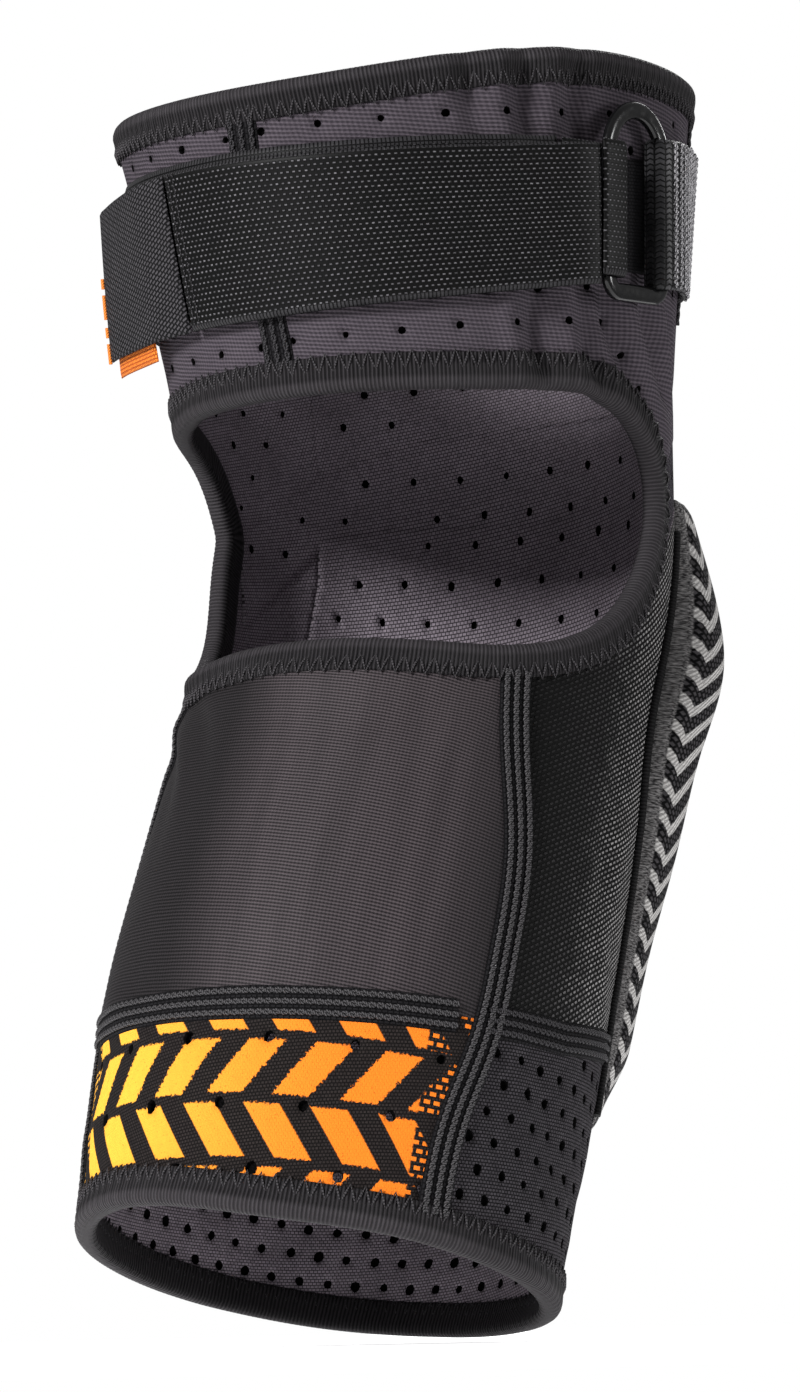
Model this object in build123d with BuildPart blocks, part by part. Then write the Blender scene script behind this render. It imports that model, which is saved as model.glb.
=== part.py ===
from build123d import *

import os
from math import cos, radians, sin

# Pull-on soft knee guard. Millimetres, +Z up the leg, -Y to the front (kneecap), +Y to the back
# of the knee. The origin is on the knee's bending axis, which runs along X.

# The leg the sleeve is cut for: height along the leg, centre y and z, backward tilt in degrees,
# half width and half depth of the sleeve's outer face.
LEG = [
    (-178, 65.0, -166.5, -15.0, 55.0, 55.0),
    (-150, 56.0, -140.0, -15.0, 56.0, 58.0),
    (-110, 41.5, -102.5, -15.0, 57.5, 60.0),
    (-60, 19.0, -56.5, -15.0, 58.0, 59.0),
    (-20, 5.0, -19.5, -10.0, 57.5, 58.5),
    (10, 1.0, 10.0, -0.5, 58.0, 61.0),
    (40, 3.0, 40.0, 6.5, 60.0, 65.0),
    (70, 6.0, 69.5, 7.5, 63.0, 70.5),
    (121, 9.0, 120.5, 7.5, 67.0, 80.5),
]
TOP_RIM = 121
BOTTOM_RIM = -178

SLEEVE_THICK = 3.0
TAPE_WIDTH = 8.5
TAPE_THICK = 0.8
TAPE_GRIP = 2.0
SEAM_WIDTH = 8.0
SEAM_THICK = 0.7
BODY_GAP = 0.35
REACH = 150.0

# Angles round the leg are from the back centre, + to the +X side.
THIGH_SEAM_ANGLE = 118
KEEPER_END_ANGLE = -126
THIGH_LOW = -30
CENTRE_SEAM_HALF_ANGLE = 2.7

# Height, angle of the calf panel's seam, angle of the pad's edge.
LOWER_SEAMS = [
    (36, 54, 118),
    (10, 54, 117),
    (-12, 54, 112),
    (-35, 54, 107),
    (-60, 58, 114),
    (-85, 62, 120),
    (-110, 61, 122),
    (-130, 59, 123),
    (-150, 55, 124),
    (-176, 55, 124),
]

# Height, pad edge angle, pad thickness over the sleeve.
PAD = [
    (30, 118, 1.6),
    (-12, 112, 14.5),
    (-35, 107, 12.8),
    (-60, 114, 10.5),
    (-85, 120, 8.6),
    (-110, 122, 6.6),
    (-133, 123, 4.6),
]
PAD_FULLNESS = [(0, 0.3), (0.08, 0.72), (0.2, 1.0), (0.45, 1.0), (0.75, 0.92), (1, 0.88)]
PAD_BOTTOM = -132
PAD_COVER_THICK = 1.5
PAD_TRIM_WIDTH = 4.0

# Lines drawn in the side view as (y, z).
OPENING_EDGE = [
    (100, 38), (62, 38), (47, 38.5), (33, 39.5), (17, 38.5), (4, 33), (-4, 25), (-6, 16),
    (-2.5, 5), (7, -8), (20, -17), (33, -21.5), (47, -23), (66, -20.5), (100, -14),
]
FLEX_TOP = [(0, 21), (-14, 27), (-20, 32), (-35, 41), (-53, 49), (-130, 58)]
FLEX_BOTTOM = [(0, -2), (-15, 9), (-29, 21.5), (-45, 25), (-130, 27)]
CUFF_SEAM = [(150, -102.5), (105, -105.5), (76, -110), (48, -114), (13, -115), (-120, -117)]

STRAP_THICK = 1.4
STRAP_LOW = 64.2
STRAP_HIGH = 101.2
RUN_LOW = 66.0
RUN_HIGH = 104.5
LOOP_LOW = 67.8
LOOP_HIGH = 99.2
HOOK_LOW = 60.5
HOOK_HIGH = 97.5
TAIL_HINGE_ANGLE = 22.0

BUCKLE_STATION = 85.0
BUCKLE_ANGLE = -81.5
BUCKLE_WIDTH = 26.0
BUCKLE_BOTTOM = -22.2
BUCKLE_ARCH = 12.0
SLOT_WIDTH = 17.6
SLOT_BOTTOM = -18.6
BUCKLE_LIFT = 2.2
BUCKLE_THICK = 2.4
BAR_CENTRE = (BUCKLE_WIDTH + SLOT_WIDTH) / 4


def section(station):
    """Centre y, z, tilt, half width and half depth at a height along the leg."""
    for low, high in zip(LEG, LEG[1:]):
        if station <= high[0] or high is LEG[-1]:
            part = (station - low[0]) / (high[0] - low[0])
            return [a + part * (b - a) for a, b in zip(low[1:], high[1:])]


def leg_plane(station):
    """The cutting plane across the leg, its own y pointing backward."""
    y, z, tilt, _, _ = section(station)
    up_leg = (0, sin(radians(tilt)), cos(radians(tilt)))
    return Plane(origin=(0, y, z), x_dir=(1, 0, 0), z_dir=up_leg)


def skin(station, angle, offset):
    """A point over the sleeve's outer face, in the leg plane's own axes."""
    _, _, _, half_width, half_depth = section(station)
    return (
        (half_width + offset) * sin(radians(angle)),
        (half_depth + offset) * cos(radians(angle)),
    )


def skin_point(station, angle, offset=0.0):
    """The same point in the part's axes."""
    x, y = skin(station, angle, offset)
    return leg_plane(station).from_local_coords(Vector(x, y, 0))


def leg_tube(offset):
    """The solid leg shape, grown or shrunk by an offset."""
    with BuildPart() as tube:
        for station, _, _, _, half_width, half_depth in LEG:
            with BuildSketch(leg_plane(station)):
                Ellipse(half_width + offset, half_depth + offset)
        loft(ruled=True)
    return tube.part


def wrap(rows):
    """A band round the leg: each row is a height and its (angle, inner, outer) points."""
    with BuildPart() as band:
        for station, ring in rows:
            with BuildSketch(leg_plane(station)):
                with BuildLine():
                    outer = Spline(*[skin(station, angle, high) for angle, _, high in ring])
                    inner = Spline(*[skin(station, angle, low) for angle, low, _ in ring])
                    Line(outer @ 0, inner @ 0)
                    Line(outer @ 1, inner @ 1)
                make_face()
        loft(ruled=True)
    return band.part


def spread(start, end, low, high, step=12.0):
    """Evenly spaced (angle, inner, outer) points."""
    count = max(3, round(abs(end - start) / step))
    return [(start + (end - start) * i / count, low, high) for i in range(count + 1)]


def sector(rows):
    """Everything between two seam lines: each row is a height, a start angle and an end angle."""
    longest = max(abs(end - start) for _, start, end in rows)
    step = longest / max(4, round(longest / 14))
    return wrap([
        (station, spread(start, end, -9, 9, step * abs(end - start) / longest))
        for station, start, end in rows
    ])


def above(station):
    """All of the leg above a height."""
    with BuildPart(leg_plane(station)) as block:
        Box(2 * REACH, 2 * REACH, 3 * REACH, align=(Align.CENTER, Align.CENTER, Align.MIN))
    return block.part


def side_block(*points):
    """A side-view outline carried through the whole width."""
    with BuildPart() as block:
        with BuildSketch(Plane.YZ):
            with BuildLine():
                Polyline(*points, close=True)
            make_face()
        extrude(amount=REACH, both=True)
    return block.part


def opening_block(grow):
    """The opening behind the knee, grown all round."""
    edge = Spline(*OPENING_EDGE)
    count = 28
    points = []
    for i in range(count + 1):
        along = edge % (i / count)
        points.append(edge @ (i / count) + Vector(along.Y, -along.X) * grow)
    with BuildPart() as block:
        with BuildSketch(Plane.YZ):
            with BuildLine():
                grown = Spline(*points)
                Line(grown @ 0, grown @ 1)
            make_face()
        extrude(amount=REACH, both=True)
    return block.part


def below_line(points):
    """Everything under a side-view line."""
    return side_block(*points, (points[-1][0], -300), (points[0][0], -300))


def below_flex(gap):
    """The front of the leg under the flex panel, and everything behind it."""
    line = [(y, z - gap) for y, z in FLEX_BOTTOM]
    return side_block(*line, (-130, -300), (160, -300), (160, 0))


SLEEVE_OUT = leg_tube(0)
SLEEVE_IN = leg_tube(-SLEEVE_THICK)
OPENING = opening_block(0)
PANEL_OPENING = opening_block(TAPE_GRIP)
TAPE_OPENING = opening_block(TAPE_WIDTH)
THIGH_OPENING = opening_block(TAPE_WIDTH + BODY_GAP)
LOWER_FRONT = below_flex(BODY_GAP)
FLEX_ZONE = side_block(*FLEX_BOTTOM, *reversed(FLEX_TOP))
BELOW_CUFF_SEAM = below_line(CUFF_SEAM)
ABOVE_BOTTOM_GRIP = above(BOTTOM_RIM + TAPE_GRIP)
ABOVE_BOTTOM_TAPE = above(BOTTOM_RIM + TAPE_WIDTH)
ABOVE_TOP_GRIP = above(TOP_RIM - TAPE_GRIP)
ABOVE_TOP_TAPE = above(TOP_RIM - TAPE_WIDTH)

with BuildPart() as sleeve:
    add(SLEEVE_OUT)
    add(SLEEVE_IN, mode=Mode.SUBTRACT)
    add(ABOVE_TOP_GRIP, mode=Mode.SUBTRACT)
    add(ABOVE_BOTTOM_GRIP, mode=Mode.INTERSECT)

with BuildPart() as lower_sleeve:
    add(sleeve.part)
    add(LOWER_FRONT, mode=Mode.INTERSECT)
    add(PANEL_OPENING, mode=Mode.SUBTRACT)

with BuildPart() as thigh_sleeve:
    add(sleeve.part)
    add(above(THIGH_LOW), mode=Mode.INTERSECT)
    add(side_block(*FLEX_TOP, (-130, -200), (0, -200)), mode=Mode.SUBTRACT)
    add(side_block((-5, 30), (-5, -200), (160, -200), (160, 30)), mode=Mode.SUBTRACT)
    add(THIGH_OPENING, mode=Mode.SUBTRACT)

with BuildPart() as tape_shell:
    add(leg_tube(TAPE_THICK))
    add(leg_tube(-SLEEVE_THICK - TAPE_THICK), mode=Mode.SUBTRACT)

# ---- Lower body ----

with BuildPart() as calf_panel:
    add(lower_sleeve.part)
    add(sector([(station, -calf, calf) for station, calf, _ in LOWER_SEAMS]), mode=Mode.INTERSECT)
    add(BELOW_CUFF_SEAM, mode=Mode.SUBTRACT)

with BuildPart() as calf_cuff_panel:
    add(lower_sleeve.part)
    add(sector([(station, -calf, calf) for station, calf, _ in LOWER_SEAMS]), mode=Mode.INTERSECT)
    add(BELOW_CUFF_SEAM, mode=Mode.INTERSECT)


def side_mesh(side):
    """The abrasion mesh between the calf panel and the pad on one side."""
    with BuildPart() as mesh:
        add(lower_sleeve.part)
        rows = [(station, side * calf, side * edge) for station, calf, edge in LOWER_SEAMS]
        add(sector(rows), mode=Mode.INTERSECT)
        add(BELOW_CUFF_SEAM, mode=Mode.SUBTRACT)
    return mesh.part


side_mesh_left = side_mesh(1)
side_mesh_right = side_mesh(-1)

with BuildPart() as pad_backing_panel:
    add(lower_sleeve.part)
    add(sector([(station, edge, 360 - edge) for station, _, edge in LOWER_SEAMS]), mode=Mode.INTERSECT)
    add(BELOW_CUFF_SEAM, mode=Mode.SUBTRACT)

with BuildPart() as shin_cuff:
    add(lower_sleeve.part)
    add(sector([(station, calf, 360 - calf) for station, calf, _ in LOWER_SEAMS]), mode=Mode.INTERSECT)
    add(BELOW_CUFF_SEAM, mode=Mode.INTERSECT)


def pad_block(inset, thinner):
    """The pad's outer shape, optionally smaller all round."""
    rows = []
    for station, edge, thick in PAD:
        edge = edge + inset
        half = [
            (edge + part * (180 - edge), -2, max(0.4, full * thick - thinner))
            for part, full in PAD_FULLNESS
        ]
        rows.append((station, half + [(360 - angle, low, high) for angle, low, high in half[-2::-1]]))
    return wrap(rows)


PAD_FULL = pad_block(0, 0)
PAD_CORE = pad_block(2, PAD_COVER_THICK)

with BuildPart() as knee_pad_insert:
    add(PAD_CORE)
    add(SLEEVE_OUT, mode=Mode.SUBTRACT)
    add(below_flex(2 * PAD_COVER_THICK), mode=Mode.INTERSECT)
    add(above(PAD_BOTTOM + PAD_COVER_THICK), mode=Mode.INTERSECT)

with BuildPart() as knee_pad_cover:
    add(PAD_FULL)
    add(SLEEVE_OUT, mode=Mode.SUBTRACT)
    add(LOWER_FRONT, mode=Mode.INTERSECT)
    add(above(PAD_BOTTOM), mode=Mode.INTERSECT)
    add(knee_pad_insert.part, mode=Mode.SUBTRACT)


def surface_strip(rows, proud):
    """A strip lying on the sleeve: each row is a height, a start angle and an end angle."""
    bands = [
        (station, spread(start, end, -1.5, proud, abs(end - start) / 3)) for station, start, end in rows
    ]
    with BuildPart() as strip:
        add(wrap(bands))
        add(SLEEVE_OUT, mode=Mode.SUBTRACT)
    return strip.part


def pad_trim(side):
    """The dark trim round the pad's edge on one side."""
    width = PAD_TRIM_WIDTH
    rows = [(station, side * (edge - width), side * (edge - 0.1)) for station, edge, _ in PAD]
    with BuildPart() as trim:
        add(surface_strip(rows, 1.2))
        add(LOWER_FRONT, mode=Mode.INTERSECT)
        add(TAPE_OPENING, mode=Mode.SUBTRACT)
        add(above(PAD_BOTTOM), mode=Mode.INTERSECT)
    return trim.part


pad_trim_left = pad_trim(1)
pad_trim_right = pad_trim(-1)


def calf_seam(side):
    """The flat seam beside the calf panel, from the opening to the bottom tape."""
    half = SEAM_WIDTH / 2
    rows = [
        (station, side * (calf - half), side * (calf + half))
        for station, calf, _ in LOWER_SEAMS
        if station <= -12
    ]
    with BuildPart() as seam:
        add(surface_strip(rows, SEAM_THICK))
        add(TAPE_OPENING, mode=Mode.SUBTRACT)
        add(ABOVE_BOTTOM_TAPE, mode=Mode.INTERSECT)
    return seam.part


calf_seam_left = calf_seam(1)
calf_seam_right = calf_seam(-1)

with BuildPart() as seam_skin:
    add(leg_tube(SEAM_THICK))
    add(SLEEVE_OUT, mode=Mode.SUBTRACT)
    add(side_block(
        *[(y, z + SEAM_WIDTH / 2) for y, z in CUFF_SEAM],
        *[(y, z - SEAM_WIDTH / 2) for y, z in reversed(CUFF_SEAM)],
    ), mode=Mode.INTERSECT)

HALF_SEAM = SEAM_WIDTH / 2

with BuildPart() as calf_cuff_seam:
    add(seam_skin.part)
    rows = [(station, HALF_SEAM - calf, calf - HALF_SEAM) for station, calf, _ in LOWER_SEAMS]
    add(sector(rows), mode=Mode.INTERSECT)


def side_cuff_seam(side):
    """The seam between side mesh and shin cuff, from the calf seam to the pad."""
    with BuildPart() as seam:
        add(seam_skin.part)
        rows = [
            (station, side * (calf + HALF_SEAM), side * (edge - PAD_TRIM_WIDTH - 1))
            for station, calf, edge in LOWER_SEAMS
        ]
        add(sector(rows), mode=Mode.INTERSECT)
    return seam.part


side_cuff_seam_left = side_cuff_seam(1)
side_cuff_seam_right = side_cuff_seam(-1)

with BuildPart() as opening_binding:
    add(tape_shell.part)
    add(TAPE_OPENING, mode=Mode.INTERSECT)
    add(OPENING, mode=Mode.SUBTRACT)
    add(lower_sleeve.part, mode=Mode.SUBTRACT)

with BuildPart() as bottom_binding:
    add(tape_shell.part)
    add(ABOVE_BOTTOM_TAPE, mode=Mode.SUBTRACT)
    add(sleeve.part, mode=Mode.SUBTRACT)

# ---- Thigh body ----

THIGH_ROWS = [20, 45, 70, 95, 125]

with BuildPart() as thigh_back_left:
    add(thigh_sleeve.part)
    add(sector([(station, 0, THIGH_SEAM_ANGLE) for station in THIGH_ROWS]), mode=Mode.INTERSECT)

with BuildPart() as thigh_back_right:
    add(thigh_sleeve.part)
    add(sector([(station, 0, -THIGH_SEAM_ANGLE) for station in THIGH_ROWS]), mode=Mode.INTERSECT)

with BuildPart() as thigh_front_panel:
    add(thigh_sleeve.part)
    rows = [(station, THIGH_SEAM_ANGLE, 360 - THIGH_SEAM_ANGLE) for station in THIGH_ROWS]
    add(sector(rows), mode=Mode.INTERSECT)

with BuildPart() as knee_flex_panel:
    add(sleeve.part)
    add(FLEX_ZONE, mode=Mode.INTERSECT)
    add(THIGH_OPENING, mode=Mode.SUBTRACT)

with BuildPart() as top_binding:
    add(tape_shell.part)
    add(ABOVE_TOP_TAPE, mode=Mode.INTERSECT)
    add(sleeve.part, mode=Mode.SUBTRACT)

# The buckle's own axes: x along the skin toward the back, y outward, z up the leg.
BUCKLE_UP = (skin_point(RUN_HIGH, BUCKLE_ANGLE) - skin_point(RUN_LOW, BUCKLE_ANGLE)).normalized()
ALONG_SKIN = skin_point(BUCKLE_STATION, BUCKLE_ANGLE + 2) - skin_point(BUCKLE_STATION, BUCKLE_ANGLE - 2)
BUCKLE_OUT = BUCKLE_UP.cross(ALONG_SKIN).normalized()
BUCKLE_BACK = BUCKLE_OUT.cross(BUCKLE_UP)
BUCKLE_FOOT = skin_point(BUCKLE_STATION, BUCKLE_ANGLE)
LOOP_PLANE = Plane(origin=BUCKLE_FOOT, x_dir=BUCKLE_BACK, z_dir=BUCKLE_UP)
FRAME_PLANE = Plane(
    origin=BUCKLE_FOOT + BUCKLE_OUT * BUCKLE_LIFT, x_dir=BUCKLE_BACK * -1, z_dir=BUCKLE_OUT
)

LOOP_CLEAR = 0.8
LOOP_TOP = BUCKLE_LIFT + BUCKLE_THICK + LOOP_CLEAR
SLOT_SIDE = SLOT_WIDTH / 2 - LOOP_CLEAR
FOLD_END = 14.9


def loop_block(outline, low, high):
    """An outline in the buckle's side view, carried from one height to another."""
    with BuildPart() as block:
        with BuildSketch(LOOP_PLANE.offset(low - BUCKLE_STATION)):
            with BuildLine():
                Polyline(*outline, close=True)
            make_face()
        extrude(amount=high - low)
    return block.part


with BuildPart() as strap_run:
    band = spread(THIGH_SEAM_ANGLE, -67.5, -1.5, STRAP_THICK)
    add(wrap([(RUN_LOW, band), (RUN_HIGH, band)]))
    add(loop_block([
        (22.0, -6.0),
        (SLOT_SIDE - STRAP_THICK, -6.0),
        (SLOT_SIDE - STRAP_THICK, LOOP_TOP),
        (SLOT_SIDE, LOOP_TOP + STRAP_THICK),
        (FOLD_END, LOOP_TOP + STRAP_THICK),
        (FOLD_END, LOOP_TOP),
        (SLOT_SIDE + 0.6, LOOP_TOP),
        (SLOT_SIDE, LOOP_TOP - 0.6),
        (SLOT_SIDE, 1.0),
        (15.0, 0.1),
        (22.0, -1.45),
    ], LOOP_LOW, LOOP_HIGH))
    add(SLEEVE_OUT, mode=Mode.SUBTRACT)

BAR_IN = BUCKLE_WIDTH / 2 + LOOP_CLEAR
with BuildPart() as buckle_keeper:
    band = spread(-97, KEEPER_END_ANGLE, -1.5, 2 * STRAP_THICK)
    add(wrap([(LOOP_LOW, band), (LOOP_HIGH, band)]))
    add(loop_block([
        (-24.0, -8.0),
        (STRAP_THICK - SLOT_SIDE, -8.0),
        (STRAP_THICK - SLOT_SIDE, LOOP_TOP),
        (-SLOT_SIDE, LOOP_TOP + STRAP_THICK),
        (-BAR_IN, LOOP_TOP + STRAP_THICK),
        (-24.0, 0.4),
    ], LOOP_LOW, LOOP_HIGH))
    add(loop_block([
        (-SLOT_SIDE, 1.4),
        (-SLOT_SIDE, LOOP_TOP),
        (-BAR_IN + 0.4, LOOP_TOP),
        (-BAR_IN, LOOP_TOP - 0.4),
        (-BAR_IN, 1.4),
    ], LOOP_LOW - 1, LOOP_HIGH + 1), mode=Mode.SUBTRACT)
    add(SLEEVE_OUT, mode=Mode.SUBTRACT)

with BuildPart() as back_centre_seam:
    half = CENTRE_SEAM_HALF_ANGLE
    add(surface_strip([(station, -half, half) for station in (42, 55, 64.8, RUN_LOW)], SEAM_THICK))
    add(surface_strip([(station, -half, half) for station in (RUN_HIGH, 110, 118)], SEAM_THICK))
    add(THIGH_OPENING, mode=Mode.SUBTRACT)
    add(ABOVE_TOP_TAPE, mode=Mode.SUBTRACT)
    add(strap_run.part, mode=Mode.SUBTRACT)

# ---- Buckle ----


def arched(width, bottom, corner, mode):
    """An upright loop outline: a round arch on top and two rounded corners below."""
    height = BUCKLE_ARCH - bottom
    with Locations((0, BUCKLE_ARCH)):
        Circle(width / 2, mode=mode)
    with Locations((0, bottom + height / 2)):
        RectangleRounded(width, height, corner, mode=mode)
    with Locations((0, BUCKLE_ARCH - height / 4)):
        Rectangle(width, height / 2, mode=mode)


with BuildPart() as buckle:
    with BuildSketch(FRAME_PLANE):
        arched(BUCKLE_WIDTH, BUCKLE_BOTTOM, 5, Mode.ADD)
        arched(SLOT_WIDTH, SLOT_BOTTOM, 2, Mode.SUBTRACT)
    extrude(amount=BUCKLE_THICK)
    fillet(buckle.edges().filter_by(lambda edge: abs(edge.tangent_at(0.5).dot(BUCKLE_OUT)) < 0.5), 0.7)

# ---- Strap ----

# The lifting strap: it leaves the fold high, comes down to the first layer, then runs round
# the back. Each end that turns on its neighbour is rounded about the hinge line.
ROUND = STRAP_THICK / 2
STRAP_LIFT = 1.9
START_ANGLE = -69.3
DESCENT = [(START_ANGLE, 7.1), (-65.5, 6.6), (-61, 5.2), (-56, 3.6), (-51, 2.4), (-46, 1.95)]
PLAIN_RUN = [(-38, STRAP_LIFT), (-26, STRAP_LIFT), (-13, STRAP_LIFT), (0, STRAP_LIFT), (11, STRAP_LIFT)]
OUTER_END = TAIL_HINGE_ANGLE - 0.9
OUTER_LINE = DESCENT + PLAIN_RUN + [(OUTER_END, STRAP_LIFT)]
TAIL_LINE = [(TAIL_HINGE_ANGLE, 1.9), (26, 2.2), (31, 3.1), (38, 3.3), (46, 3.8), (55, 5.0)]
HOOK_LINE = [(32, 1.75), (38, 1.95), (46, 2.45), (57, 3.85)]
HOOK_THICK = 1.2


def layer(line, thick, low, high, rounded):
    """A strap layer along (angle, lift) points, its first end rounded if it is a hinge."""
    with BuildPart() as strap:
        for station in (low, high):
            with BuildSketch(leg_plane(station)):
                with BuildLine():
                    outer = Spline(*[skin(station, angle, lift + thick) for angle, lift in line])
                    inner = Spline(*[skin(station, angle, lift) for angle, lift in line])
                    Line(outer @ 1, inner @ 1)
                    middle = (outer @ 0 + inner @ 0) / 2 - (outer % 0) * thick / 2
                    if rounded:
                        ThreePointArc(outer @ 0, middle, inner @ 0)
                    else:
                        Line(outer @ 0, inner @ 0)
                make_face()
        loft(ruled=True)
    return strap.part


strap_outer = layer(OUTER_LINE, STRAP_THICK, STRAP_LOW, STRAP_HIGH, True)
strap_tail = layer(TAIL_LINE, STRAP_THICK, STRAP_LOW, STRAP_HIGH, True)

with BuildPart() as hook_patch:
    add(layer(HOOK_LINE, HOOK_THICK, HOOK_LOW, HOOK_HIGH, False))
    add(strap_tail, mode=Mode.SUBTRACT)

NODES = {
    "calf_panel": calf_panel.part,
    "calf_cuff_panel": calf_cuff_panel.part,
    "side_mesh_left": side_mesh_left,
    "side_mesh_right": side_mesh_right,
    "pad_backing_panel": pad_backing_panel.part,
    "shin_cuff": shin_cuff.part,
    "knee_pad_insert": knee_pad_insert.part,
    "knee_pad_cover": knee_pad_cover.part,
    "pad_trim_left": pad_trim_left,
    "pad_trim_right": pad_trim_right,
    "calf_seam_left": calf_seam_left,
    "calf_seam_right": calf_seam_right,
    "calf_cuff_seam": calf_cuff_seam.part,
    "side_cuff_seam_left": side_cuff_seam_left,
    "side_cuff_seam_right": side_cuff_seam_right,
    "opening_binding": opening_binding.part,
    "bottom_binding": bottom_binding.part,
    "thigh_back_left": thigh_back_left.part,
    "thigh_back_right": thigh_back_right.part,
    "thigh_front_panel": thigh_front_panel.part,
    "knee_flex_panel": knee_flex_panel.part,
    "top_binding": top_binding.part,
    "back_centre_seam": back_centre_seam.part,
    "strap_run": strap_run.part,
    "buckle_keeper": buckle_keeper.part,
    "buckle": buckle.part,
    "strap_outer": strap_outer,
    "strap_tail": strap_tail,
    "hook_patch": hook_patch.part,
}

os.makedirs("parts", exist_ok=True)
for label, node in NODES.items():
    node.label = label
    export_step(node, "parts/" + label + ".step")
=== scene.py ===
from math import cos, pi, radians, sin

import bmesh
import bpy
import numpy as np
from mathutils import Matrix, Vector


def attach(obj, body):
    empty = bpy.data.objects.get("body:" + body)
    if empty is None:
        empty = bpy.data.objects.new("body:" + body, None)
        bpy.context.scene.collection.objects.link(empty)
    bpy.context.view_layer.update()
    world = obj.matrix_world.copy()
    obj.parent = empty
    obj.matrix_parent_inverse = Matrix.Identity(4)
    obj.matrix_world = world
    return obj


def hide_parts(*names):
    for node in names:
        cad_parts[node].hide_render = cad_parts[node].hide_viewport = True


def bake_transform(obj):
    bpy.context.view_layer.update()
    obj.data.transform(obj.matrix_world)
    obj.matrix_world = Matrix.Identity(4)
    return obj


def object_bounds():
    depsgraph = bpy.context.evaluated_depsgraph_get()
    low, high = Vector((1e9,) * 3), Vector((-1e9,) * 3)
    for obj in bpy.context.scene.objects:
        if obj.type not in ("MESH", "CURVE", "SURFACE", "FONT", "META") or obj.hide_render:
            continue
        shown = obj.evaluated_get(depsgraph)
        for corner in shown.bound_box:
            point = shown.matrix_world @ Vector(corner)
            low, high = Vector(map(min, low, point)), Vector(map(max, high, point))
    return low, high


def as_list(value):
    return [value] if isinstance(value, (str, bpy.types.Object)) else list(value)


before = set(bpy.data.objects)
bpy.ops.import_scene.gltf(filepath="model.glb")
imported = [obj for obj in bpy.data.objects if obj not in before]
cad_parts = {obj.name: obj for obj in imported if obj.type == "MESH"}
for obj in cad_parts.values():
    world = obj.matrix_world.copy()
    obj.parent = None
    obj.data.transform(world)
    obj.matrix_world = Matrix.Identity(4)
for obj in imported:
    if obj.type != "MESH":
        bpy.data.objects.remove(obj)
cad_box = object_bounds()

RNG = np.random.default_rng(7)

# ---------------------------------------------------------------- the leg the sleeve is cut for
# Millimetres. Height along the leg, centre y and z, backward tilt in degrees, half width, half depth.
LEG = np.array([
    (-178, 63.0, -167.0, -15.0, 55.0, 55.0),
    (-150, 53.5, -140.6, -15.0, 56.4, 58.0),
    (-110, 41.0, -102.5, -15.0, 57.8, 59.5),
    (-60, 19.0, -56.5, -15.0, 56.2, 58.2),
    (-20, 5.0, -19.5, -10.0, 56.6, 58.5),
    (10, 1.0, 10.0, -0.5, 58.0, 61.0),
    (40, 3.0, 40.0, 6.5, 59.0, 65.0),
    (70, 6.0, 69.5, 7.5, 62.2, 70.5),
    (121, 9.0, 120.5, 7.5, 67.0, 80.5),
])
LOWER_SEAMS = np.array([
    (-178, 58, 124), (-150, 59, 124), (-130, 63.5, 123), (-110, 65, 122), (-85, 64, 120), (-60, 58, 114),
    (-35, 54, 107), (-12, 54, 112), (10, 54, 117), (36, 54, 118),
])
PAD = np.array([
    (-133, 123, 6.0), (-110, 122, 7.4), (-85, 120, 8.2), (-60, 114, 9.8), (-35, 107, 11.4),
    (-14, 111, 14.4), (6, 116, 9.4), (18, 117.5, 5.0), (30, 118, 1.6),
])
PAD_FULLNESS = np.array([(0, 0.3), (0.08, 0.72), (0.2, 1.0), (0.45, 1.0), (0.75, 0.92), (1, 0.88)])
PAD_BOTTOM = -132.0
OPENING_EDGE = np.array([
    (100, 38), (62, 38), (47, 38.5), (33, 39.5), (17, 38.5), (4, 33), (-4, 25), (-6, 16),
    (-2.5, 5), (7, -8), (20, -17), (33, -21.5), (47, -23), (66, -20.5), (100, -14),
], float)
FLEX_TOP = np.array([(-130, 58), (-53, 49), (-35, 41), (-20, 32), (-14, 27), (0, 21)], float)
FLEX_BOTTOM = np.array([(-130, 27), (-45, 25), (-29, 21.5), (-15, 9), (0, -2)], float)
CUFF_SEAM = np.array([(-120, -117), (13, -115), (48, -114), (76, -110), (105, -105.5), (150, -102.5)], float)
# How high the two ends of the sleeve stand, by angle round the leg.
TOP_RIM = [
    (-180, 118), (-117, 117.3), (-66, 121.2), (-20, 117.8), (10, 117.0), (43, 117.6), (90, 119.6), (180, 118),
]
BOTTOM_RIM = [
    (-180, -176.5), (-88, -178.5), (-51, -177), (-16, -176), (10, -173.4), (60, -173.2), (180, -176.5),
]
THIGH_SEAM = 118.0
MM_PER_DEGREE = 1.1
HEM = 3.0  # the cloth stops this far short of the opening's edge, under the tape
RIM_HEM = 2.5  # and this far short of the two rims
SHALLOW_AT = 12.0  # the height at which the opening is shallower on the side without the buckle


def cubic(xs, ys):
    """A natural cubic through the points, straight beyond them."""
    xs, ys = np.asarray(xs, float), np.asarray(ys, float)
    n = len(xs)
    h = np.diff(xs)
    a = np.eye(n)
    b = np.zeros(n)
    for i in range(1, n - 1):
        a[i, i - 1:i + 2] = h[i - 1], 2 * (h[i - 1] + h[i]), h[i]
        b[i] = 3 * ((ys[i + 1] - ys[i]) / h[i] - (ys[i] - ys[i - 1]) / h[i - 1])
    c = np.linalg.solve(a, b)

    def at(x):
        x = np.asarray(x, float)
        inside = np.clip(x, xs[0], xs[-1])
        i = np.clip(np.searchsorted(xs, inside) - 1, 0, n - 2)
        d = inside - xs[i]
        slope = (ys[i + 1] - ys[i]) / h[i] - h[i] * (2 * c[i] + c[i + 1]) / 3
        bend = (c[i + 1] - c[i]) / (3 * h[i])
        value = ys[i] + d * (slope + d * (c[i] + d * bend))
        return value + (x - inside) * (slope + d * (2 * c[i] + 3 * d * bend))

    return at


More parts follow.
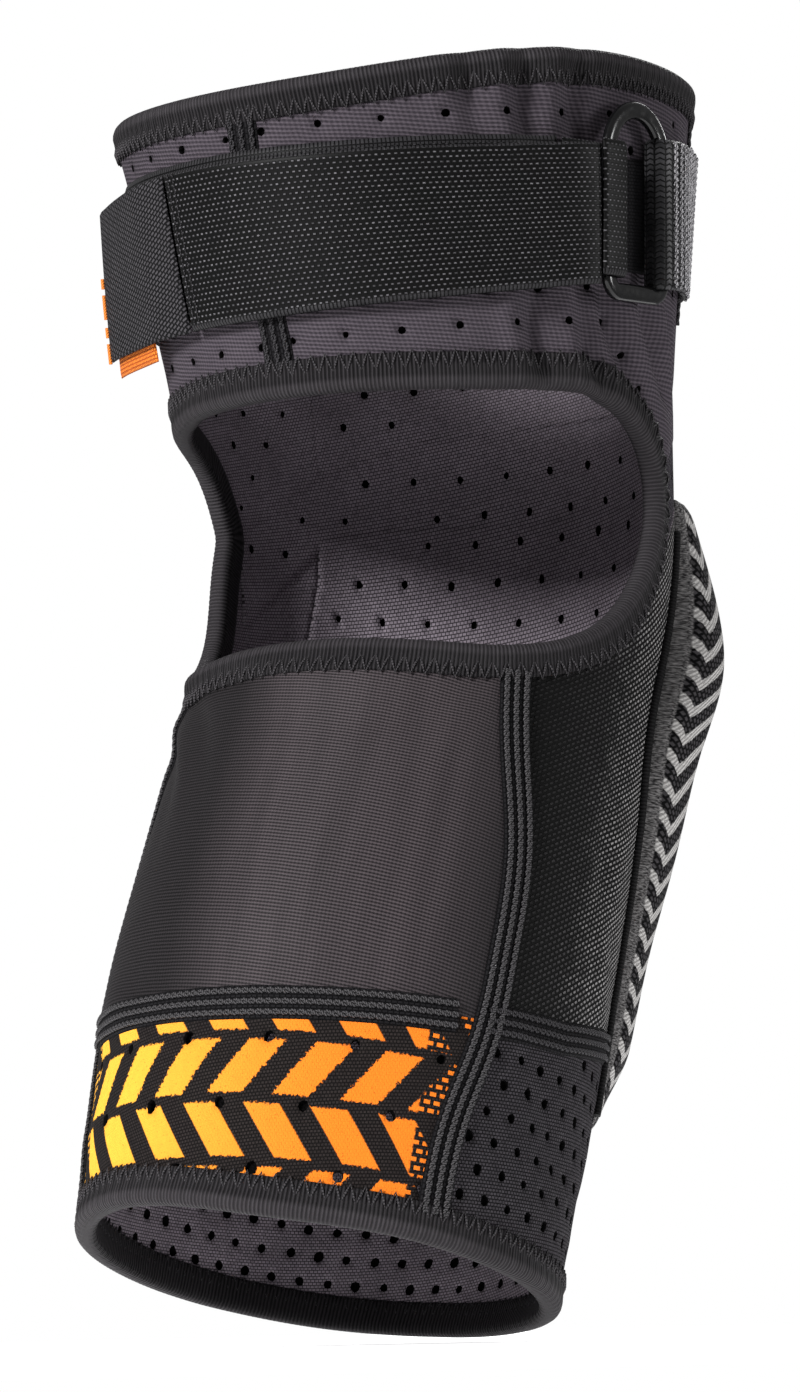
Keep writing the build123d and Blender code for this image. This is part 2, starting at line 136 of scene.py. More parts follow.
LEG_LINES = [cubic(LEG[:, 0], LEG[:, k]) for k in range(1, 6)]
top_rim = cubic(*zip(*TOP_RIM))
bottom_rim = cubic(*zip(*BOTTOM_RIM))


def calf_seam(s):
    return np.interp(s, LOWER_SEAMS[:, 0], LOWER_SEAMS[:, 1])


def pad_edge(s):
    return np.interp(s, LOWER_SEAMS[:, 0], LOWER_SEAMS[:, 2])


# Wrinkles: height, angle, direction in degrees, half length, half width, depth (mm).
WRINKLES = [
    (110, -57, 86, 13, 2.4, -2.6), (110, -52.0, 86, 13, 2.4, 1.6), (110, -62.5, 92, 12, 2.4, 1.6),
    (110, -68.5, 92, 12, 2.3, -2.4), (112, -46, 84, 12, 2.2, -1.8), (111, -40, 84, 12, 3.0, 1.2),
    (56, -58, 84, 14, 2.4, -2.8), (56, -52, 85, 13, 2.8, 1.8), (55, -66, 80, 13, 2.6, 1.9),
    (55, -80, 62, 17, 2.6, -2.9), (55, -87, 62, 16, 2.8, 2.0), (55, -95, 58, 16, 2.6, -2.7),
    (54, -102, 56, 15, 2.8, 1.9), (50, -73, 70, 14, 2.6, -2.2), (50, -110, 50, 15, 3.0, -1.9),
    (57, 28, -30, 20, 5.0, -0.9), (50, 12, 10, 24, 5.0, 0.8), (56, -18, -12, 26, 5.0, -0.7),
    (112, 25, 15, 26, 6.0, 0.7), (110, -20, -10, 24, 6.0, -0.6), (113, 55, 40, 16, 5.0, 0.9),
    (-48, 34, 38, 22, 4.0, -1.2), (-54, 40, 42, 20, 4.0, 1.1), (-62, 44, 48, 18, 4.0, -0.9),
    (-50, -38, -40, 20, 4.5, -0.9), (-46, -6, 4, 30, 5.0, 0.7), (-58, -44, -52, 16, 4.0, 0.8),
    (-104, 20, 10, 30, 5.0, 0.6), (-118, -25, -8, 28, 5.0, -0.8), (-122, 38, 20, 18, 5.0, 0.9),
    (-140, 8, 15, 30, 8.0, 0.9), (-150, -30, -20, 26, 7.0, -0.9), (-158, 35, 30, 20, 6.0, 0.8),
    (-145, -88, 35, 22, 6.0, -1.0), (-160, -100, -25, 20, 6.0, 0.9), (-135, -75, 60, 16, 5.0, 0.8),
    (-75, -92, 70, 26, 5.0, -0.8), (-55, -84, 55, 18, 5.0, 0.8), (-95, -100, 80, 24, 6.0, 0.7),
    (75, 95, 80, 26, 7.0, 1.0), (60, 110, 60, 20, 6.0, -1.0), (60, 150, 10, 26, 6.0, 1.0),
    (95, 160, -15, 30, 8.0, -1.0), (80, -150, 15, 30, 8.0, 1.0), (-150, 150, 10, 30, 7.0, 0.9),
    (-160, -150, -10, 30, 7.0, -0.9), (-75, 90, -70, 24, 5.0, -0.8), (-95, 100, 80, 22, 6.0, 0.7),
]


def relief(s, t):
    """How far wrinkles and creases stand out."""
    out = np.zeros(np.broadcast(s, t).shape)
    for s0, t0, direction, length, width, depth in WRINKLES:
        du = ((t - t0 + 180) % 360 - 180) * MM_PER_DEGREE
        dv = s - s0
        along = du * cos(radians(direction)) + dv * sin(radians(direction))
        across = dv * cos(radians(direction)) - du * sin(radians(direction))
        across = across + 0.012 * along ** 2 * np.sign(t0 + 0.5)
        out += depth * np.exp(-(across / width) ** 2 - (along / length) ** 2)
    return out


def skin(s, t, out=0.0, wrinkle=1.0):
    """Points over the sleeve's outer face, in millimetres."""
    s, t, out = np.broadcast_arrays(np.asarray(s, float), np.asarray(t, float), np.asarray(out, float))
    y, z, tilt, half_width, half_depth = [line(s) for line in LEG_LINES]
    out = out + wrinkle * relief(s, t)
    turn, tilt = np.radians(t), np.radians(tilt)
    x = (half_width + out) * np.sin(turn)
    back = (half_depth + out) * np.cos(turn)
    return np.stack([x, y + back * np.cos(tilt), z - back * np.sin(tilt)], -1)


def side_view(s, t):
    p = skin(s, t, 0, 0)
    return p[..., 1], p[..., 2]


def running(points):
    """Length along a line of points, from 0."""
    return np.r_[0, np.cumsum(np.linalg.norm(np.diff(points, axis=0), axis=1))]


def even(line, count):
    """A smooth curve through the line's points, at evenly spaced places."""
    length = running(line)
    at = np.linspace(0, length[-1], count)
    return np.stack([cubic(length, column)(at) for column in line.T], -1)


def opening_outline():
    return np.vstack([even(OPENING_EDGE, 110), [(140, -10), (140, 38)]])


OUTLINE = opening_outline()


def opening_gap(s, t):
    """Side-view distance from the opening's edge, less than 0 inside it."""
    y, z = side_view(s, t)
    a, b = OUTLINE, np.roll(OUTLINE, -1, 0)
    best = np.full(y.shape, 1e9)
    odd = np.zeros(y.shape, bool)
    for (ay, az), (by, bz) in zip(a, b):
        dy, dz = by - ay, bz - az
        part = np.clip(((y - ay) * dy + (z - az) * dz) / (dy * dy + dz * dz), 0, 1)
        best = np.minimum(best, np.hypot(y - ay - part * dy, z - az - part * dz))
        if az != bz:
            odd ^= ((az > z) != (bz > z)) & (y < ay + (z - az) / (bz - az) * (by - ay))
    shallower = 16.0 * np.clip((t - 35) / 50, 0, 1) * np.exp(-((s - SHALLOW_AT) / 26) ** 2)
    return np.where(odd, -best, best) + shallower * (t < 180)


def above(line, s, t):
    """Side-view height over a line of (y, z) points."""
    y, z = side_view(s, t)
    return z - np.interp(y, line[:, 0], line[:, 1])


def first_height(passes, t, low, high):
    """The height at which a test of (height, angle) starts to hold, found by halving."""
    low, high = np.full(np.shape(t), float(low)), np.full(np.shape(t), float(high))
    for _ in range(30):
        middle = (low + high) / 2
        up = passes(middle, t)
        high, low = np.where(up, middle, high), np.where(up, low, middle)
    return (low + high) / 2


# ---------------------------------------------------------------- mesh building

def quads(index):
    """The faces of a grid of vertex numbers."""
    return np.stack([index[:-1, :-1], index[1:, :-1], index[1:, 1:], index[:-1, 1:]], -1).reshape(-1, 4)


def cell_faces(cells, columns):
    """The vertices that a list of grid cells uses, and the cells as faces of those vertices."""
    corners = np.stack([cells, cells + (1, 0), cells + (1, 1), cells + (0, 1)], 1)
    used, faces = np.unique(corners[..., 0] * columns + corners[..., 1], return_inverse=True)
    return used, faces.reshape(-1, 4)


class Shape:
    """Gathers faces with one UV map in millimetres, then makes a Blender object."""

    def __init__(self):
        self.points, self.faces, self.maps, self.slots, self.count = [], [], [], [], 0

    def add(self, points, faces, maps, slot=0):
        """maps holds one (u, v) for each corner of each face."""
        faces = np.asarray(faces)
        self.points.append(np.asarray(points, float).reshape(-1, 3))
        self.faces.append(faces + self.count)
        self.maps.append(np.asarray(maps, float))
        self.slots.append(np.broadcast_to(slot, (len(faces),)))
        self.count += len(self.points[-1])

    def grid(self, points, maps, wrap_i=False, wrap_j=False):
        rows, columns = points.shape[:2]
        index = np.arange(rows * columns).reshape(rows, columns)
        if wrap_i:
            index = np.vstack([index, index[:1]])
        if wrap_j:
            index = np.hstack([index, index[:, :1]])
        corners = np.stack([maps[:-1, :-1], maps[1:, :-1], maps[1:, 1:], maps[:-1, 1:]], 2).reshape(-1, 4, 2)
        self.add(points, quads(index), corners)

    def cap(self, ring, middle):
        """Closes an end with a fan of triangles."""
        n = len(ring)
        index = np.arange(n)
        fan = np.stack([np.full(n, n), index, (index + 1) % n], 1)
        self.add(np.vstack([ring, middle]), fan, np.zeros((n, 3, 2)))

    def make(self, name, materials):
        points = np.concatenate(self.points) / 1000.0
        mesh = bpy.data.meshes.new(name)
        mesh.vertices.add(len(points))
        mesh.vertices.foreach_set("co", points.ravel())
        sizes = np.concatenate([np.full(len(f), f.shape[1]) for f in self.faces])
        loops = np.concatenate([f.ravel() for f in self.faces])
        maps = np.concatenate([m.reshape(-1, 2) for m in self.maps])
        mesh.loops.add(len(loops))
        mesh.loops.foreach_set("vertex_index", loops)
        mesh.polygons.add(len(sizes))
        mesh.polygons.foreach_set("loop_start", np.r_[0, np.cumsum(sizes)[:-1]])
        mesh.polygons.foreach_set("material_index", np.concatenate(self.slots))
        mesh.polygons.foreach_set("use_smooth", np.full(len(sizes), True))
        mesh.uv_layers.new(name="weave").data.foreach_set("uv", maps.ravel())
        mesh.update(calc_edges=True)
        mesh.validate()
        work = bmesh.new()
        work.from_mesh(mesh)
        bmesh.ops.recalc_face_normals(work, faces=work.faces)
        work.to_mesh(mesh)
        work.free()
        for material in materials:
            mesh.materials.append(material)
        thing = bpy.data.objects.new(name, mesh)
        bpy.context.scene.collection.objects.link(thing)
        return thing


def panel(name, field, angles, heights, face, thick=2.8, out=0.0, holes=None):
    """A cut piece of the sleeve: cells inside the field, edges drawn onto its zero line, holes, two faces.

    holes is (pitch round the leg, pitch along it, radius, share that goes through), pitches in cells; the
    other holes get a near-black floor part-way down, painted shade.
    """
    cell = 1.35
    nt = int(round((angles[1] - angles[0]) * MM_PER_DEGREE / cell))
    ns = int(round((heights[1] - heights[0]) / cell))
    t, s = np.meshgrid(np.linspace(*angles, nt + 1), np.linspace(*heights, ns + 1), indexing="ij")
    f = field(s, t)
    keep = f > -0.5 * cell
    cells = keep[:-1, :-1] & keep[1:, :-1] & keep[1:, 1:] & keep[:-1, 1:]
    padded = np.pad(cells, 1)
    around = padded[:-1, :-1].astype(int) + padded[1:, :-1] + padded[:-1, 1:] + padded[1:, 1:]
    edge = (around > 0) & (around < 4) & (np.abs(f) < 1.6 * cell)
    step = 0.2
    for _ in range(3):
        te, se = t[edge], s[edge]
        f0 = field(se, te)
        gt = (field(se, te + step) - f0) / (step * MM_PER_DEGREE)
        gs = (field(se + step, te) - f0) / step
        size = np.maximum(gt ** 2 + gs ** 2, 0.2)
        move = np.clip(f0, -1.5 * cell, 1.5 * cell) / size
        t[edge] -= move * gt / MM_PER_DEGREE
        s[edge] -= move * gs
    drop = np.zeros(t.shape)
    blind = []
    if holes:
        pitch_u, pitch_v, radius, through = holes
        for i in range(3, nt - 2):
            for j in range(3, ns - 2):
                on_row = i % pitch_u == 0 and j % pitch_v == 0
                between = (i + pitch_u // 2) % pitch_u == 0 and (j + pitch_v // 2) % pitch_v == 0
                whole = f[i, j] >= 3.2 * cell and cells[i - 3:i + 3, j - 3:j + 3].all()
                if not (on_row or between) or not whole:
                    continue
                size = radius * RNG.uniform(0.82, 1.12)
                spin = RNG.uniform(-0.25, 0.25)
                t0, s0 = t[i, j] + RNG.uniform(-0.2, 0.2), s[i, j] + RNG.uniform(-0.2, 0.2)
                for a in (-1, 0, 1):
                    for b in (-1, 0, 1):
                        if a or b:
                            turn = np.arctan2(b, a) + spin
                            r = size * RNG.uniform(0.85, 1.15)
                            t[i + a, j + b] = t0 + r * cos(turn) / MM_PER_DEGREE
                            s[i + a, j + b] = s0 + r * sin(turn)
                for a in range(-4, 5):
                    for b in range(-4, 5):
                        if 0 <= i + a <= nt and 0 <= j + b <= ns:
                            drop[i + a, j + b] -= 0.3 * np.exp(-(a * a + b * b) / 4.5)
                t[i, j], s[i, j] = t0, s0
                cells[i - 1:i + 1, j - 1:j + 1] = False
                # A hole that does not go through gets a near-black floor below it: painted shade for the dark
                # inside of a hole.
                if RNG.uniform() >= through:
                    blind += [(i + a, j + b) for a in (-1, 0) for b in (-1, 0)]
    used, faces = cell_faces(np.argwhere(cells), ns + 1)
    tu, su, du = t.ravel()[used], s.ravel()[used], drop.ravel()[used]
    outer = skin(su, tu, out + du)
    inner = skin(su, tu, out - thick + 0.35 * du)
    maps = np.stack([tu * MM_PER_DEGREE, su], -1)
    total = len(used)
    pairs = np.concatenate([faces[:, [k, (k + 1) % 4]] for k in range(4)])
    _, first, counts = np.unique(np.sort(pairs, 1), axis=0, return_index=True, return_counts=True)
    rim = pairs[first[counts == 1]]
    walls = np.stack([rim[:, 0], rim[:, 1], rim[:, 1] + total, rim[:, 0] + total], 1)
    every = np.vstack([faces, faces[:, ::-1] + total, walls])
    # Hole walls take the near-black pit material, partly the cut foam's black and partly painted shade; the
    # panel's cut edges take the lining.
    wall_slots = np.where(f.ravel()[used][rim[:, 0]] > 2 * cell, 2, 1)
    slots = np.r_[np.zeros(len(faces), int), np.ones(len(faces), int), wall_slots]
    shape = Shape()
    shape.add(np.vstack([outer, inner]), every, np.vstack([maps, maps])[every], slots)
    hole_shade_floors = None
    # Near-black floors in the shut holes, painted hole shade.
    if blind:
        used, faces = cell_faces(np.array(blind), ns + 1)
        tu, su = t.ravel()[used], s.ravel()[used]
        floors = Shape()
        floors.add(skin(su, tu, out - 0.55 * thick), faces, np.stack([tu * MM_PER_DEGREE, su], -1)[faces])
        hole_shade_floors = floors.make(name + "_hole_shade_floors", [PIT])
    return shape.make(name, [face, LINING, PIT]), hole_shade_floors


def path_frame(path, closed):
    """Length along a path of (angle, height), its total, and its sideways step in (angle, height) per mm."""
    t, s = path[:, 0], path[:, 1]
    p = skin(s, t, 0, 0)
    e = 0.05
    mt = np.linalg.norm(skin(s, t + e, 0, 0) - p, axis=-1) / e
    ms = np.linalg.norm(skin(s + e, t, 0, 0) - p, axis=-1) / e
    if closed:
        nxt, prv = np.roll(path, -1, 0), np.roll(path, 1, 0)
        d = nxt - prv
        d[:, 0] = (d[:, 0] + 180) % 360 - 180
    else:
        d = np.gradient(path, axis=0)
    du, dv = d[:, 0] * mt, d[:, 1] * ms
    size = np.hypot(du, dv)
    length = running(p)
    total = length[-1] + (np.linalg.norm(p[0] - p[-1]) if closed else 0)
    return length, total, np.stack([-dv / size / mt, du / size / ms], -1)


def resample(path, step, closed):
    """The path at even steps of real length."""
    if closed:
        path = np.vstack([path, path[:1]])
        path[:, 0] = np.degrees(np.unwrap(np.radians(path[:, 0])))
    length = running(skin(path[:, 1], path[:, 0], 0, 0))
    count = max(3, int(round(length[-1] / step)))
    at = np.linspace(0, length[-1], count + 1)
    if closed:
        at = at[:-1]
    return np.stack([np.interp(at, length, path[:, k]) for k in (0, 1)], -1)


def band(name, path, section, material, closed, bumps=None, step=0.4):
    """A tape or seam along a path: section is its outline as (sideways, outward) millimetres."""
    path = resample(path, step, closed)
    length, total, side = path_frame(path, closed)
    section = np.asarray(section, float)
    w = np.broadcast_to(section[:, 0], (len(path), len(section)))
    h = np.broadcast_to(section[:, 1], w.shape).copy()
    if bumps:
        h = h + bumps(length[:, None], w, h, total)
    t = path[:, :1] + side[:, :1] * w
    s = path[:, 1:] + side[:, 1:] * w
    points = skin(s, t, h)
    around = running(np.vstack([section, section[:1]]))
    ends = np.r_[length, total] if closed else length
    maps = np.stack(np.broadcast_arrays(ends[:, None], around[None, :]), -1)
    shape = Shape()
    shape.grid(points, maps, wrap_i=closed, wrap_j=True)
    if not closed:
        for end in (0, -1):
            shape.cap(points[end], points[end].mean(0))
    return shape.make(name, [material])


def thread(shape, points, radius, sides=6, closed=False):
    """A round thread along a line of points in space."""
    points = np.asarray(points, float)
    if closed:
        tangent = np.roll(points, -1, 0) - np.roll(points, 1, 0)
    else:
        tangent = np.gradient(points, axis=0)
    tangent /= np.linalg.norm(tangent, axis=1)[:, None] + 1e-9
    out = points * (1, 1, 0)
    out = out - (out * tangent).sum(1)[:, None] * tangent
    out /= np.linalg.norm(out, axis=1)[:, None] + 1e-9
    across = np.cross(tangent, out)
    turn = np.arange(sides) * 2 * pi / sides
    ring = points[:, None] + radius * (
        np.cos(turn)[None, :, None] * out[:, None] + np.sin(turn)[None, :, None] * across[:, None]
    )
    length = running(points)
    if closed:
        length = np.r_[length, length[-1] + np.linalg.norm(points[0] - points[-1])]
    maps = np.stack(np.broadcast_arrays(length[:, None], np.arange(sides + 1)[None, :] * radius), -1)
    shape.grid(ring, maps, wrap_i=closed, wrap_j=True)
    if not closed:
        for end in (0, -1):
            shape.cap(ring[end], points[end])


def follow(path, closed, step, across, height):
    """Points along a path, moved sideways and outward by functions of the length along it."""
    path = resample(path, step, closed)
    length, total, side = path_frame(path, closed)
    w, h = across(length, total), height(length, total)
    return skin(path[:, 1] + side[:, 1] * w, path[:, 0] + side[:, 0] * w, h)


def zigzag(name, path, low, high, pitch, height, radius, material):
    """A zigzag stitch between two distances from a closed path."""
    length_all = path_frame(resample(path, 1.0, True), True)[1]
    turns = max(2, int(round(length_all / pitch)))
    step = length_all / (turns * 4)

    def wave(length, total):
        phase = (length / total * turns) % 1
        return low + (high - low) * (1 - np.abs(2 * phase - 1))

    def rise(length, total):
        phase = (length / total * turns * 2) % 1
        return height - 0.42 + 0.42 * np.sin(pi * phase) ** 0.6

    shape = Shape()
    thread(shape, follow(path, True, step, wave, rise), radius, 5, True)
    return shape.make(name, [material])


def chain_rows(name, path, places, pitch, height, radius, material):
    """Rows of chain stitch: two strands that cross and part along each row."""
    shape = Shape()
    for place in places:
        for sign in (-1, 1):
            def across(length, total):
                return place + sign * 0.42 * np.sin(pi * length / pitch)

            def rise(length, total):
                return height + 0.16 * sign * np.cos(pi * length / pitch)

            thread(shape, follow(path, False, 0.42, across, rise), radius, 5)
    return shape.make(name, [material])


def closed_sheet(name, top, low, maps, material):
    """A solid between two grids of points."""
    total = top.shape[0] * top.shape[1]
    index = np.arange(total).reshape(top.shape[:2])
    up = quads(index)
    ring = np.r_[index[:, 0], index[-1, 1:], index[-2::-1, -1], index[0, -2:0:-1]]
    after = np.roll(ring, -1)
    walls = np.stack([ring, after, after + total, ring + total], 1)
    every = np.vstack([up, up[:, ::-1] + total, walls])
    flat = np.vstack([maps.reshape(-1, 2)] * 2)
    shape = Shape()
    shape.add(np.vstack([top.reshape(-1, 3), low.reshape(-1, 3)]), every, flat[every])
    return shape.make(name, [material])


def slab(name, middle, thick, material):
    """A strap from its middle surface: points (along, across, 3), rounded at every edge."""
    rows, columns = middle.shape[:2]
    normal = np.cross(np.gradient(middle, axis=0), np.gradient(middle, axis=1))
    normal /= np.linalg.norm(normal, axis=2)[..., None] + 1e-9
    length = running(middle[:, columns // 2])
    width = running(middle[rows // 2])

    def soft(place, total):
        near = np.minimum(place, total - place)
        return np.sqrt(np.clip(1 - (1 - np.clip(near / (thick * 0.6), 0, 1)) ** 2, 0.02, 1))

    half = 0.5 * thick * np.minimum(soft(length, length[-1])[:, None], soft(width, width[-1])[None, :])
    maps = np.stack(np.broadcast_arrays(length[:, None], width[None, :]), -1)
    lift = normal * half[..., None]
    return closed_sheet(name, middle + lift, middle - lift, maps, material)


# ---------------------------------------------------------------- materials

def linear(colour):
    """sRGB 0-255 to the renderer's linear colour."""
    values = [c / 255 for c in colour]
    return [c / 12.92 if c <= 0.04045 else ((c + 0.055) / 1.055) ** 2.4 for c in values] + [1.0]


class Value:
    """A number or colour inside a material, which adds and multiplies like a number."""

    def __init__(self, look, socket):
        self.look, self.socket = look, socket

    def __add__(self, other):
        return self.look.math("ADD", self, other)

    def __sub__(self, other):
        return self.look.math("SUBTRACT", self, other)

    def __rsub__(self, other):
        return self.look.math("SUBTRACT", other, self)

    def __mul__(self, other):
        return self.look.math("MULTIPLY", self, other)

    def __truediv__(self, other):
        return self.look.math("DIVIDE", self, other)


class Look:
    """Builds one procedural material on the mesh's own map, or on the object, in millimetres."""

    def __init__(self, name, rough=0.8, sheen=0.0, coat=0.0, coat_rough=0.1, specular=0.04, objects=False):
        self.material = bpy.data.materials.new(name)
        self.material.use_nodes = True
        self.tree = self.material.node_tree
        self.tree.nodes.clear()
        self.shader = self.tree.nodes.new("ShaderNodeBsdfPrincipled")
        out = self.tree.nodes.new("ShaderNodeOutputMaterial")
        self.tree.links.new(self.shader.outputs[0], out.inputs[0])
        for key, value in (
            ("Roughness", rough), ("Sheen Weight", sheen), ("Coat Weight", coat),
            ("Coat Roughness", coat_rough), ("Specular IOR Level", specular),
        ):
            self.shader.inputs[key].default_value = value
        if objects:
            place = self.node("ShaderNodeTexCoord", out="Object")
            self.uv = self.node("ShaderNodeVectorMath", {0: place, "Scale": 1000}, operation="SCALE")
        else:
            self.uv = self.node("ShaderNodeUVMap", uv_map="weave")

    def put(self, socket, value):
        if isinstance(value, Value):
            self.tree.links.new(value.socket, socket)
        else:
            socket.default_value = value

    def node(self, kind, inputs=None, out=0, **properties):
        """Adds a node, fills its inputs, and gives one of its outputs."""
        new = self.tree.nodes.new(kind)
        for key, value in properties.items():
            setattr(new, key, value)
        for key, value in (inputs or {}).items():
            self.put(new.inputs[key], value)
        return Value(self, new.outputs[out])

    def math(self, operation, *values):
        return self.node("ShaderNodeMath", dict(enumerate(values)), operation=operation)

    def turn(self, degrees=0.0, scale=(1, 1, 1), source=None):
        spin = (0, 0, radians(degrees))
        return self.node("ShaderNodeMapping", {0: source or self.uv, "Rotation": spin, "Scale": scale})

    def split(self):
        x = self.node("ShaderNodeSeparateXYZ", {0: self.uv})
        return x, Value(self, x.socket.node.outputs[1])

    def join(self, x, y):
        return self.node("ShaderNodeCombineXYZ", {0: x, 1: y})

    def noise(self, size, detail=2.0, source=None):
        return self.node("ShaderNodeTexNoise", {
            "Vector": source or self.uv, "Scale": 1.0 / size, "Detail": detail, "Roughness": 0.55,
        })

    def wave(self, period, degrees=0.0, bend=0.0, bend_size=1.0):
        return self.node("ShaderNodeTexWave", {
            "Vector": self.turn(degrees), "Scale": pi / 10 / period, "Distortion": bend,
            "Detail": 1.0, "Detail Scale": bend_size,
        }, out=1, wave_type="BANDS", bands_direction="X", wave_profile="SIN")

    def brick(self, width, height, gap, degrees=0.0, offset=0.5, smooth=0.6, source=None):
        return self.node("ShaderNodeTexBrick", {
            "Vector": self.turn(degrees, source=source), "Color1": (1, 1, 1, 1),
            "Color2": (0.72, 0.72, 0.72, 1), "Mortar": (0, 0, 0, 1), "Scale": 1.0, "Mortar Size": gap,
            "Mortar Smooth": smooth, "Bias": 0.0, "Brick Width": width, "Row Height": height,
        }, offset=offset, offset_frequency=2, squash=1.0)

    def cells(self, size):
        return self.node("ShaderNodeTexVoronoi", {"Vector": self.uv, "Scale": 1.0 / size})

    def ramp(self, value, *stops):
        """Colours at places along a value: each stop is (place, sRGB colour) or (place, grey 0-1)."""
        made = self.node("ShaderNodeValToRGB", {0: value})
        bar = made.socket.node.color_ramp
        while len(bar.elements) < len(stops):
            bar.elements.new(0.5)
        for element, (place, colour) in zip(bar.elements, stops):
            element.position = place
            element.color = (colour, colour, colour, 1) if np.isscalar(colour) else linear(colour)
        return made

    def mix(self, amount, a, b):
        return self.node("ShaderNodeMix", {0: amount, 6: a, 7: b}, out=2, data_type="RGBA", clamp_factor=True)

    def blotch(self, colour, size, detail, amount, tone):
        """Soft blotches of another tone."""
        return self.mix(self.noise(size, detail) * amount, colour, linear(tone))

    def step(self, value, low, high):
        return self.node("ShaderNodeMapRange", {0: value, 1: low, 2: high}, interpolation_type="SMOOTHSTEP")

    def done(self, colour, height=None, depth=0.2, strength=0.9, rough=None):
        self.put(self.shader.inputs["Base Color"], colour)
        if rough is not None:
            self.put(self.shader.inputs["Roughness"], rough)
        if height is not None:
            bump = {"Strength": strength, "Distance": depth / 1000, "Height": height}
            self.put(self.shader.inputs["Normal"], self.node("ShaderNodeBump", bump))
        return self.material


def thigh_knit(name="thigh_knit_face", low=(50, 46, 51), high=(90, 83, 90)):
    look = Look(name, rough=0.86, sheen=0.008)
    both = look.wave(1.1, 12, 1.6, 0.5) * 0.3 + look.wave(0.95, 82, 1.6, 0.4) * 0.7
    colour = look.blotch(look.ramp(both, (0.15, low), (0.85, high)), 9, 3, 0.5, (48, 44, 50))
    return look.done(colour, both + look.noise(0.55, 1) * 0.6, 0.3)


def lining():
    look = Look("micro_knit_lining", rough=0.9, sheen=0.008)
    rows = look.brick(1.1, 0.78, 0.16, -7, smooth=0.8)
    colour = look.ramp(rows * (look.noise(1.2) + 0.55), (0.1, (50, 46, 50)), (0.95, (158, 148, 158)))
    return look.done(look.blotch(colour, 16, 2, 0.6, (70, 65, 70)), rows)


def elastic_tape():
    look = Look("ribbed_edge_tape", rough=0.55, sheen=0.01, specular=0.06)
    _, y = look.split()
    ribs = look.wave(0.95, 0, 0.5, 0.8)
    rim = look.step(y, 5.8, 7.4) * (1 - look.step(y, 12.0, 13.5))
    base = look.ramp(ribs, (0.1, (8, 8, 9)), (0.9, (46, 44, 46)))
    smooth = look.ramp(look.wave(0.95, 0, 0.3), (0.0, (38, 36, 38)), (1.0, (64, 61, 64)))
    colour = look.blotch(look.mix(rim, base, smooth), 6, 2, 0.5, (30, 28, 30))
    return look.done(colour, ribs + look.noise(0.5, 1) * 0.35, 0.26)


def thread_look(name, dark, light, rough=0.5):
    look = Look(name, rough=rough, sheen=0.01, specular=0.1)
    twist = look.wave(0.55, 35)
    middle = [(a + b) / 2.4 for a, b in zip(dark, light)]
    return look.done(look.blotch(look.ramp(twist, (0.1, dark), (0.8, light)), 2, 1, 0.5, middle), twist, 0.08)


def basket_strap():
    look = Look("basket_weave_elastic", rough=0.5, sheen=0.01, specular=0.1)
    x, y = look.split()
    weave = look.brick(1.45, 1.2, 0.5, smooth=0.5)
    fine = look.brick(0.95, 1.9, 0.2, offset=0.0)
    edge = 1 - look.step(y, 1.2, 1.7) * (1 - look.step(y, 35.0, 35.5))
    grain = look.noise(0.8, 1) * 0.5 + 0.72
    main = look.ramp(weave * grain, (0.1, (7, 7, 7)), (0.55, (34, 34, 35)), (1.0, (118, 116, 120)))
    selvedge = look.ramp(fine, (0.1, (6, 6, 7)), (0.9, (54, 53, 55)))
    colour = look.blotch(look.mix(edge, main, selvedge), 7, 2, 0.4, (10, 10, 11))
    # Painted shade: the strap darkens towards the buckle, where less light falls.
    painted_shade_toward_buckle = 1 - look.step(x, -70.0, 10.0)
    colour = look.mix(painted_shade_toward_buckle * 0.7, colour, linear((8, 8, 9)))
    return look.done(colour, weave * (1 - edge) + fine * edge, 0.35, 1.0)


def twill_tab():
    look = Look("twill_tab_elastic", rough=0.66, sheen=0.01)
    both = look.brick(1.7, 0.95, 0.3, 27)
    colour = look.ramp(both, (0.1, (14, 14, 15)), (0.9, (78, 76, 79)))
    return look.done(look.blotch(colour, 8, 2, 0.4, (28, 27, 29)), both, 0.28)


def keeper_webbing():
    look = Look("chain_stitched_webbing", rough=0.42, sheen=0.01, specular=0.14)
    x, y = look.split()
    vee = look.math("ABSOLUTE", look.math("FRACT", x / 2.05) - 0.5) * 1.1
    loops = look.brick(2.05, 1.3, 0.24, 0, 0.0, 0.9, look.join(x, y + vee))
    # Painted highlight: streaks along the webbing where it shows its lit loop colour. Elsewhere it fades to a
    # flat near-black, which is painted shade.
    painted_shine = look.ramp(look.noise(5, 1, look.turn(scale=(1, 0.1, 1))), (0.38, 0.15), (0.6, 1.0))
    colour = look.ramp(loops, (0.15, (4, 4, 5)), (0.6, (22, 22, 23)), (0.98, (90, 89, 92)))
    return look.done(look.mix(painted_shine, linear((14, 14, 15)), colour), loops, 0.5, 1.0)


def power_mesh():
    look = Look("power_mesh_face", rough=0.55, sheen=0.01, specular=0.1)
    both = look.wave(0.95, 0, 0.4) * 0.25 + look.wave(0.85, 84, 1.1, 0.3) * 0.75
    x, _ = look.split()
    # Painted sheen: a lit band down the middle of the panel that fades to shade towards both side edges. The
    # dark and light ramps are shaded and lit copies of the mesh colour, and the stretched noise breaks this
    # painted highlight into streaks.
    sheen = 1 - look.step(look.math("ABSOLUTE", x + 27.0), 20.0, 46.0)
    painted_sheen_streaks = look.noise(9, 2, look.turn(scale=(1, 0.12, 1)))
    dark = look.ramp(both, (0.15, (12, 11, 12)), (0.85, (40, 37, 39)))
    light = look.ramp(both, (0.15, (28, 25, 27)), (0.85, (76, 69, 72)))
    return look.done(look.mix(sheen * (painted_sheen_streaks + 0.35), dark, light), both, 0.14)


